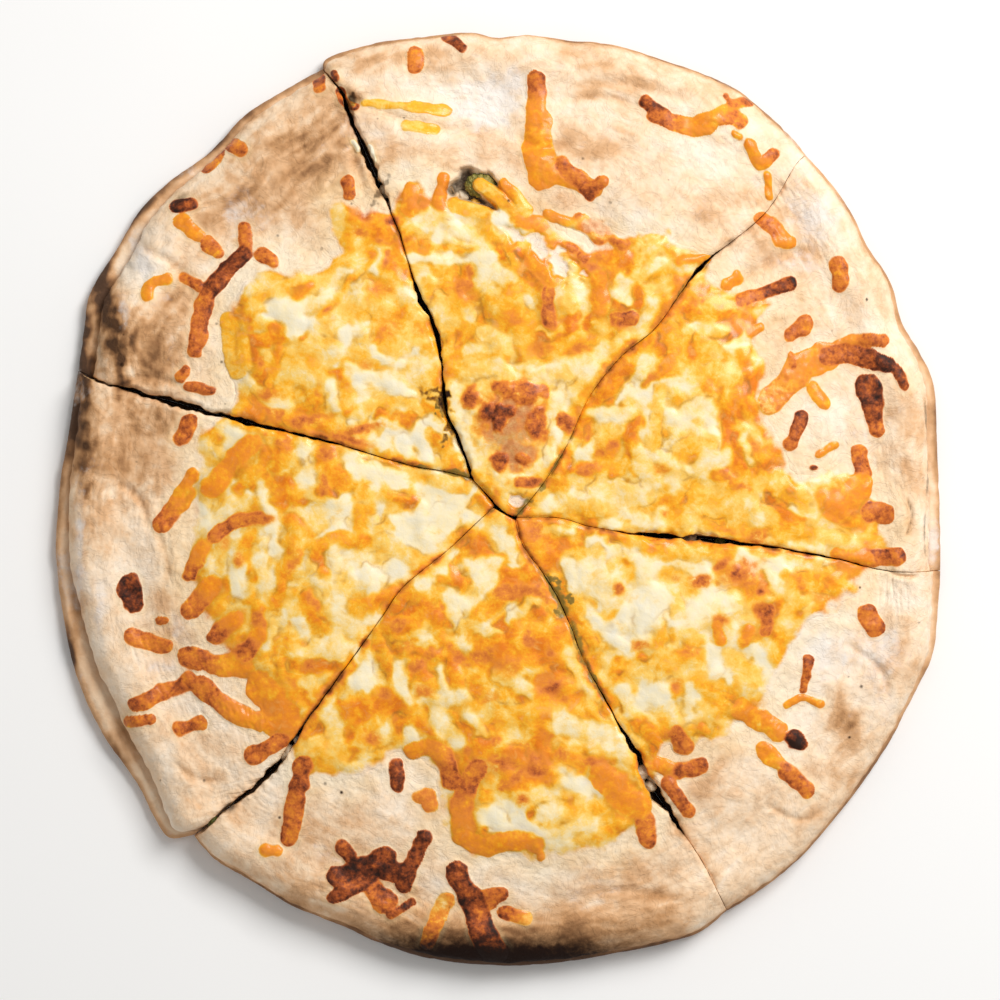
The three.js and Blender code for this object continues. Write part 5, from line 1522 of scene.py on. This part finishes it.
def lid_piece(name):
    """The upper round of one slice: coarse rows under the cheese, fine rows outside it,
    and rows round the rim's edge."""
    plan, lips = torn_plans[name], SLICES[name]["lip"]
    u = lines_across(LID_LINES)
    length, lip = plan.length(u)[:, None], along(lips, u)[:, None]
    inner = cheese_end(name, u)[:, None] + OVERLAP
    coarse = length + (inner - length) * np.linspace(0, 1, LID_COARSE, endpoint=False)
    fine = inner + (lip + EDGE_BAND - inner) * np.linspace(0, 1, LID_FINE, endpoint=False)
    edge = lip + edge_part[:, 0]
    distance = np.hstack([coarse, fine, edge])
    u_grid, x, y = plan.grid(u, distance)
    height = lid_height(name, u_grid, distance, x, y)
    from_edge = distance - lip
    section = np.hstack([0 * coarse, 0 * fine, edge_part[:, 1] + 0 * edge])
    lift = height - np.interp(from_edge, flat_part[:, 0], flat_part[:, 1])
    on_edge = from_edge < EDGE_BAND
    rounding = ease(from_edge, 0.0, EDGE_BAND)
    height = np.where(on_edge, section + lift * (0.25 + 0.75 * rounding), height)
    bulge = np.where(on_edge, (1 - rounding) * 0.8 * noise(u_grid * 40, height / 3, 1.0, 71), 0)
    inside = distance - cheese_end(name, u_grid)
    cheese = read_map(thickness, x, y)
    under_cheese = ease(inside, 1.0, 7.0) * ease(cheese, 0.02, 0.2)
    under_bare = ease(inside, 9.0, 13.0)
    height = height + (1 - ease(inside, 1.0, 7.0)) * cheese
    height = height - 0.25 * np.maximum(under_cheese, under_bare)
    height = height - shoulder(plan, u_grid, distance, x, y) * (1 - 0.5 * on_edge)
    upper = np.dstack([plan.place(u_grid, distance - 0.5 * bulge), height])
    share = (length - distance) / (length - lip)

    def under(at_u, at_share):
        """Ceiling of the pocket, and out to the edge's foot."""
        foot = along(lips, at_u) + LID_FOOT[0]
        away = plans[name].out_to(foot, at_u, at_share)
        ceiling = np.interp(away, [foot.min(), *POCKET_IN], [LID_FOOT[1], *POCKET_HIGH])
        return np.column_stack([plans[name].place(at_u, away), ceiling])

    points, faces, depth = loaf(upper, u, share, under, under_size=(60, 30), bands=6,
                                rough=0.45, seed=81)
    make_piece(f"upper_round_{name}", points, faces, surface_values(points, depth), top_look,
               f"top_crust_{name}", "upper_dough")


for name in SLICES:
    lid_piece(name)

# %% [markdown]
# The cheese of each slice is its own piece, so that it can be lifted off or recoloured. It
# follows the dough and adds the map's thickness. Near its outer border it dips just under
# the dough wherever the map has no cheese, so the visible border is the ragged one.

# %% The melted cheese of each slice
CHEESE_LINES, CHEESE_ROWS = 260, 230  # lines from tip to rim, and points on each
CHEESE_UNDER = 1.6  # its underside is this far below the dough's surface
DIP = 0.35  # how far bare places near its border dip
WALL_SHARE = 0.35  # its low wall is shaded like this much of a deep one


def cheese_piece(name):
    """The cheese of one slice: the dough's height under it, plus the map's thickness."""
    plan = torn_plans[name]
    u = lines_across(CHEESE_LINES)
    length, end = plan.length(u)[:, None], cheese_end(name, u)[:, None]
    distance = plan.out_to(end, u[:, None], np.linspace(0, 1, CHEESE_ROWS))
    u_grid, x, y = plan.grid(u, distance)
    dough = lid_height(name, u_grid, distance, x, y)
    dough = dough - shoulder(plan, u_grid, distance, x, y)
    cheese = read_map(thickness, x, y)
    fringe = 1 - ease(distance - end, 9.0, OVERLAP - 1)
    dip = fringe * DIP * (1 - ease(cheese, 0.0, 0.12))
    last = DIP * (1 - ease(distance - end, 0.0, 1.2))
    height = dough + np.maximum(cheese, 0.08 * (1 - fringe)) - dip - last
    upper = np.dstack([x, y, height])
    share = (length - distance) / (length - end)

    def under(at_u, at_share):
        """The dough under the cheese, a little lower."""
        away = plan.out_to(cheese_end(name, at_u), at_u, at_share)
        spot = plan.place(at_u, away)
        low = lid_height(name, at_u, away, spot[:, 0], spot[:, 1])
        return np.column_stack([spot, low - CHEESE_UNDER])

    points, faces, depth = loaf(upper, u, share, under, under_size=(50, 40), bands=3,
                                rough=0.2, seed=91)
    make_piece(f"melted_cheese_{name}", points, faces,
               surface_values(points, depth * WALL_SHARE), top_look,
               f"cheese_{name}", "melted_cheese")


for name in SLICES:
    cheese_piece(name)

# %% [markdown]
# The lower round shows outside the upper one as a lip, and from below. Its edge is a soft
# roll, and its underside lay on the oven's floor: dry, floured and toasted in spots.

# %% The lower round's finish
WALL_TAN = (140, 98, 60)


def under_finish(name):
    """Lower round: pale where floured, toasted in spots, darker on its outer wall."""
    bench = Bench(name)
    mottle = bench.noise(9.0, 5.0, 0.6) - 0.5
    grain = bench.noise(0.9, 3.0, 0.6) - 0.5
    spots = bench.noise(7.0, 4.0, 0.65).step(0.54, 0.7)
    toast = bench.value("toasted") + mottle * 0.35 + grain * 0.15
    below = bench.value("depth").step(1.2, 1.8)
    toast = toast + below * (spots * 0.45 + 0.08)
    colour = bench.ramp(toast, DOUGH_RAMP)
    dust = (bench.value("floured") + grain + mottle * 0.8 + below * 0.25).step(0.2, 0.9)
    colour = bench.blend(dust * 0.65, colour, FLOUR)
    wall = bench.value("depth").step(0.0, 0.5) * (1 - below)
    colour = bench.blend(wall * 0.3, colour, WALL_TAN)
    return bench.finish(colour, 0.85, bench.noise(0.7, 3.0, 0.6) + bench.noise(2.6, 3.0, 0.5))


lower_look = under_finish("lower_dough")

# %% [markdown]
# Most of the lower round is covered, so nearly all of its points go to the lip. Noise pushes
# the lip's section up, down, in and out, and presses folds into it where it is wide.

# %% The lower round of each slice
BASE_LINES, BASE_COARSE = 200, 12
LIP_SECTION = curve_through(  # distance in from the edge, and height
    [[9, 4.6], [6, 4.7], [3.4, 5.2], [1.6, 4.9], [0.5, 4.0], [0, 2.9], [0.2, 1.8]], 26)
LIP_START = 9.3  # the coarse rows end here
BASE_FOOT = 2.5  # how far in the underside starts
BASE_TOP = 4.6  # height of the flat part
BELOW = 1.5  # a depth above this is on the underside


def base_piece(name):
    """The lower round of one slice: a flat sheet, and a lip that is rolled and folded."""
    plan = lower_plans[name]
    u = lines_across(BASE_LINES)
    length = plan.length(u)[:, None]
    coarse = length + (LIP_START - length) * np.linspace(0, 1, BASE_COARSE, endpoint=False)
    distance = np.hstack([coarse, LIP_SECTION[:, 0] + 0 * length])
    u_grid, x, y = plan.grid(u, distance)
    section = np.hstack([BASE_TOP + 0 * coarse, LIP_SECTION[:, 1] + 0 * length])
    roll = ease(9 - distance, 0, 6)
    lumps = 0.5 * layered(x, y, 9, 101) + 0.25 * layered(x, y, 2.5, 104, 2)
    wide = np.clip(along(SLICES[name]["lip"], u_grid) / 6, 0, 1)
    folds = 0.6 * wide * np.abs(noise(u_grid * 9, distance / 2.2, 1.0, 106))
    height = section + roll * (0.6 * lumps - folds)
    height = height - 0.6 * shoulder(plan, u_grid, distance, x, y)
    pushed = distance - roll * 0.4 * lumps * (distance < 3)
    upper = np.dstack([plan.place(u_grid, pushed), height])
    share = (length - distance) / length

    def under(at_u, at_share):
        """Flat on the floor, out to the lip's foot."""
        away = plan.out_to(BASE_FOOT, at_u, at_share)
        return np.column_stack([plan.place(at_u, away), 0 * away])

    points, faces, depth = loaf(upper, u, share, under, under_size=(60, 60), bands=8,
                                rough=0.35, seed=111)
    values = surface_values(points, depth, ("toasted", "floured"))
    # Painted shade: the lower round's top is dark where the upper round covers it, since it shows only
    # down the cuts.
    hidden_shade = ease(inward_of(points[:, 0], points[:, 1]), 9, 12) * (depth < BELOW)
    values["toasted"] = np.where(depth > BELOW, 0.22, values["toasted"] + 0.12 + hidden_shade)
    values["floured"] = values["floured"] * (1 - hidden_shade)
    make_piece(f"lower_round_{name}", points, faces, values, lower_look,
               f"base_crust_{name}", "lower_dough")


for name in SLICES:
    base_piece(name)

# %% [markdown]
# The filling is seen only down the cuts and through the torn opening: bits of white chicken,
# green broccoli and yellow cheese, packed together. The pocket's own block carries the
# colours on its walls, and small chunks stand out of it where the photograph shows them.

# %% The filling's finish
CHICKEN_RAMP = [(0.3, (150, 126, 98)), (0.55, (206, 188, 160)), (0.8, (228, 214, 190))]
GREEN_RAMP = [(0.3, (52, 56, 20)), (0.55, (104, 108, 40)), (0.8, (158, 152, 74))]
GOLD = (226, 168, 66)
SHADE = (66, 42, 24)


def filling_finish(name):
    """Chicken, broccoli and cheese, told apart by the mesh's values and by noise."""
    bench = Bench(name)
    lumps = bench.noise(3.2, 3.0, 0.5)
    fine = bench.noise(0.7, 3.0, 0.6) - 0.5
    chicken = bench.ramp(lumps + fine * 0.3, CHICKEN_RAMP)
    kind = bench.value("green") + (bench.noise(5.0, 2.0, 0.5) - 0.5) * 0.8
    green = bench.ramp(lumps + fine * 0.8, GREEN_RAMP)
    colour = bench.blend(kind.step(0.35, 0.6), chicken, green)
    golden = bench.value("cheddar") + (bench.noise(4.0, 2.0, 0.5) - 0.5) * 0.8
    colour = bench.blend(golden.step(0.4, 0.7), colour, GOLD)
    colour = bench.blend(bench.value("depth").step(0.0, 0.8) * 0.6, colour, SHADE)
    return bench.finish(colour, 0.55, lumps + fine, distance=0.0006)


filling_look = filling_finish("filling")

# %% [markdown]
# The block reaches nearly up to the pocket's ceiling. A chunk is a lumpy ball, set where the
# picture shows one, so that part of it stands out of the block beside a cut.

# %% The filling of each slice
FILLING_BAND = 17.0  # it ends this far in from the rim
FILLING_FLOOR, FILLING_TOP_GAP = 4.9, 0.35  # height of its floor, and gap under the ceiling
FILLING_LINES, FILLING_ROWS = 120, 50
# Kind, x and y in pixels, height of the middle and radius in mm
CHUNKS = {
    "top": [
        ("chicken", 388, 190, 12.4, 2.2), ("chicken", 394, 204, 12.6, 1.8),
        ("green", 397, 222, 13.0, 1.8), ("cheese", 474, 207, 13.2, 2.3),
        ("green", 497, 181, 13.4, 2.0), ("chicken", 492, 206, 12.6, 2.2),
        ("cheese", 484, 190, 13.2, 1.8), ("chicken", 462, 198, 12.6, 2.0),
        ("green", 545, 500, 12.0, 1.2),
    ],
    "left_upper": [
        ("green", 440, 416, 12.6, 2.6), ("green", 434, 422, 12.2, 2.0),
        ("green", 446, 424, 12.4, 2.0), ("chicken", 436, 400, 11.6, 2.0),
        ("chicken", 148, 388, 9.6, 1.6),
    ],
    "left_lower": [
        ("chicken", 288, 754, 11.0, 2.4), ("green", 212, 822, 8.4, 1.6),
        ("chicken", 300, 742, 10.6, 1.8),
    ],
    "bottom": [
        ("green", 548, 582, 15.0, 1.8), ("green", 553, 594, 15.2, 1.8),
        ("chicken", 642, 772, 12.6, 2.2), ("chicken", 650, 786, 11.8, 1.8),
        ("green", 545, 574, 15.0, 1.4),
    ],
    "right_lower": [("chicken", 655, 776, 12.0, 2.0), ("green", 556, 588, 14.8, 1.6)],
    "right_upper": [("chicken", 690, 538, 12.0, 1.8), ("green", 720, 541, 11.8, 1.4)],
}
KINDS = {"chicken": (0.0, 0.0), "green": (1.0, 0.0), "cheese": (0.0, 1.0)}  # green, golden


def chunk(x, y, z, size, seed):
    """A lumpy ball: a sphere of longitudes and latitudes with its radius changed by noise,
    and one point at each pole."""
    turns, rings = 20, 12
    around = np.arange(turns) * 2 * np.pi / turns
    rise = np.linspace(-np.pi / 2, np.pi / 2, rings + 2)[1:-1]
    a, b = np.meshgrid(around, rise, indexing="ij")
    unit = np.stack([np.cos(b) * np.cos(a), np.cos(b) * np.sin(a), np.sin(b)], -1)
    unit = np.vstack([unit.reshape(-1, 3), [[0, 0, -1], [0, 0, 1]]])
    bumpy = 1 + 0.28 * noise(unit[:, 0] * 1.7 + seed, unit[:, 1] * 1.7 + unit[:, 2], 1.0, seed)
    i = np.arange(turns)[:, None] * rings + np.arange(rings - 1)
    j = (np.arange(turns)[:, None] + 1) % turns * rings + np.arange(rings - 1)
    body = [np.column_stack([i.ravel(), j.ravel(), (j + 1).ravel()]),
            np.column_stack([i.ravel(), (j + 1).ravel(), (i + 1).ravel()])]
    first, after = i[:, 0], j[:, 0]
    south, north = turns * rings, turns * rings + 1
    caps = [np.column_stack([after, first, np.full(turns, south)]),
            np.column_stack([first + rings - 1, after + rings - 1, np.full(turns, north)])]
    return unit * bumpy[:, None] * size + [x, y, z], np.vstack([*body, *caps])


def joined(parts):
    """One mesh of many: the points stacked, and each part's faces numbered on from there."""
    first = np.cumsum([0, *(len(points) for points, _ in parts)])
    return (np.vstack([points for points, _ in parts]),
            np.vstack([faces + start for (_, faces), start in zip(parts, first)]))


def filling_piece(name):
    """The filling of one slice: a block that fills the pocket, and the chunks in it."""
    plan = plans[name]
    u = lines_across(FILLING_LINES)
    length = plan.length(u)[:, None]
    distance = plan.out_to(FILLING_BAND, u[:, None], np.linspace(0, 1, FILLING_ROWS))
    _, x, y = plan.grid(u, distance)
    ceiling = np.interp(distance, POCKET_IN, POCKET_HIGH)
    upper = np.dstack([x, y, ceiling - FILLING_TOP_GAP])
    share = (length - distance) / (length - FILLING_BAND)

    def under(at_u, at_share):
        """The pocket's floor."""
        away = plan.out_to(FILLING_BAND, at_u, at_share)
        return np.column_stack([plan.place(at_u, away), FILLING_FLOOR + 0 * away])

    points, faces, _ = loaf(upper, u, share, under, under_size=(24, 24), bands=8,
                            rough=0.5, seed=121)
    x, y = points[:, 0], points[:, 1]
    values = {"green": 0.25 + 0.5 * noise(x, y, 6, 122), "depth": np.full(len(x), 1.0),
              "cheddar": 0.2 + 0.4 * noise(x, y, 5, 123)}
    parts = [(points, faces)]
    for seed, (kind, px, py, z, size) in enumerate(CHUNKS[name]):
        (x, y), = on_bread([px, py])
        parts.append(chunk(x, y, z, size, 130 + seed))
        green, golden = KINDS[kind]
        for key, value in (("green", green), ("cheddar", golden), ("depth", 0.0)):
            values[key] = np.append(values[key], np.full(len(parts[-1][0]), value))
    make_piece(f"filling_{name}_packed", *joined(parts), values, filling_look,
               f"filling_{name}", "filling")


for name in SLICES:
    filling_piece(name)

# %% [markdown]
# One floret of broccoli lies in the opening of the top slice. Its head is a dome of small
# round buds, set by the golden angle so that they cover it evenly.

# %% The broccoli floret
BUD_RAMP = [
    (0.25, (38, 40, 14)), (0.45, (84, 86, 30)), (0.6, (132, 124, 52)), (0.8, (176, 158, 86)),
]


def floret_finish(name):
    """Painted shade and light: dark green between the buds, and paler on their tips and higher up."""
    bench = Bench(name)
    buds = bench.noise(0.8, 4.0, 0.6)
    colour = bench.ramp(buds + bench.value("height") * 0.25 - 0.1, BUD_RAMP)
    return bench.finish(colour, 0.6, buds, 0.7, 0.0003)


BUDS = 130
DOME = 1.25  # in half heights, how far down from the top the buds go
BUD_REACH = 0.86  # the buds' middles are at this share of the way out
FLORET_SWELL = np.array([1.35, 1.3, 1.0])  # its loose outer buds reach past the solid
GOLDEN_ANGLE = np.pi * (3 - 5**0.5)
low, high = (np.array(corner) * 1000 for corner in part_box("broccoli_floret"))
middle, reach = (low + high) / 2, (high - low) / 2 * FLORET_SWELL
buds = []
for k in range(BUDS):
    up = 1 - DOME * (k + 0.5) / BUDS
    ring, turn = np.sqrt(1 - up**2), k * GOLDEN_ANGLE
    out = np.array([ring * np.cos(turn), ring * np.sin(turn), up])
    radius = 0.62 + 0.18 * np.sin(3.7 * k)
    buds.append(chunk(*(middle + reach * BUD_REACH * out), radius, seed=200 + k % 7))
points, faces = joined(buds)
heights = (points[:, 2] - low[2]) / (high[2] - low[2])
make_piece("floret_of_buds", points, faces, {"height": heights},
           floret_finish("broccoli"), "broccoli_floret", "broccoli")

# %% [markdown]
# A plain pale floor, a wide soft lamp from the upper right, and an even sky. The camera
# looks straight down from over a metre, so the picture has almost no perspective, like the
# photograph.

# %% Floor, light and camera
FLOOR_HALF = 1.5  # metres
CAMERA_HEIGHT = 1.25  # metres
SHARP_HEIGHT = 0.012  # metres: the height at which a picture's pixel is PIXEL wide
PICTURE_WIDTH = 1000  # pixels
SENSOR_WIDTH = 36  # mm
FLOOR_TONES = (246, 245, 243), (250, 249, 247)

bench = Bench("pale_floor")
floor_look = bench.finish(bench.blend(bench.noise(60.0, 2.0, 0.5), *FLOOR_TONES), 0.9)
floor_mesh = bpy.data.meshes.new("floor")
h = FLOOR_HALF
floor_mesh.from_pydata([(-h, -h, 0), (h, -h, 0), (h, h, 0), (-h, h, 0)], [], [(0, 1, 2, 3)])
floor_mesh.materials.append(floor_look)
floor = bpy.data.objects.new("floor", floor_mesh)
bpy.context.collection.objects.link(floor)

scene = bpy.context.scene
scene.view_settings.view_transform = "Standard"
world = bpy.data.worlds.new("even_sky")
scene.world = world
world.use_nodes = True
sky = world.node_tree.nodes["Background"]
sky.inputs["Color"].default_value = (1.0, 0.99, 0.98, 1.0)
sky.inputs["Strength"].default_value = 0.40


def lamp(name, place, size, power):
    """A square soft lamp that faces the middle of the bread."""
    light = bpy.data.lights.new(name, "AREA")
    light.shape = "SQUARE"
    light.size = size
    light.energy = power
    holder = bpy.data.objects.new(name, light)
    holder.location = place
    toward = -holder.location
    holder.rotation_euler = toward.to_track_quat("-Z", "Y").to_euler()
    bpy.context.collection.objects.link(holder)


lamp("window_light", place=(0.58, 0.64, 0.98), size=0.6, power=15.6)

camera_data = bpy.data.cameras.new("camera")
camera_data.sensor_width = SENSOR_WIDTH
camera_data.lens = SENSOR_WIDTH * (CAMERA_HEIGHT - SHARP_HEIGHT) / (PICTURE_WIDTH * PIXEL * MM)
camera = bpy.data.objects.new("camera", camera_data)
(camera_x, camera_y), = on_bread([PICTURE_WIDTH / 2, PICTURE_WIDTH / 2]) * MM
camera.location = (camera_x, camera_y, CAMERA_HEIGHT)
bpy.context.collection.objects.link(camera)
scene.camera = camera
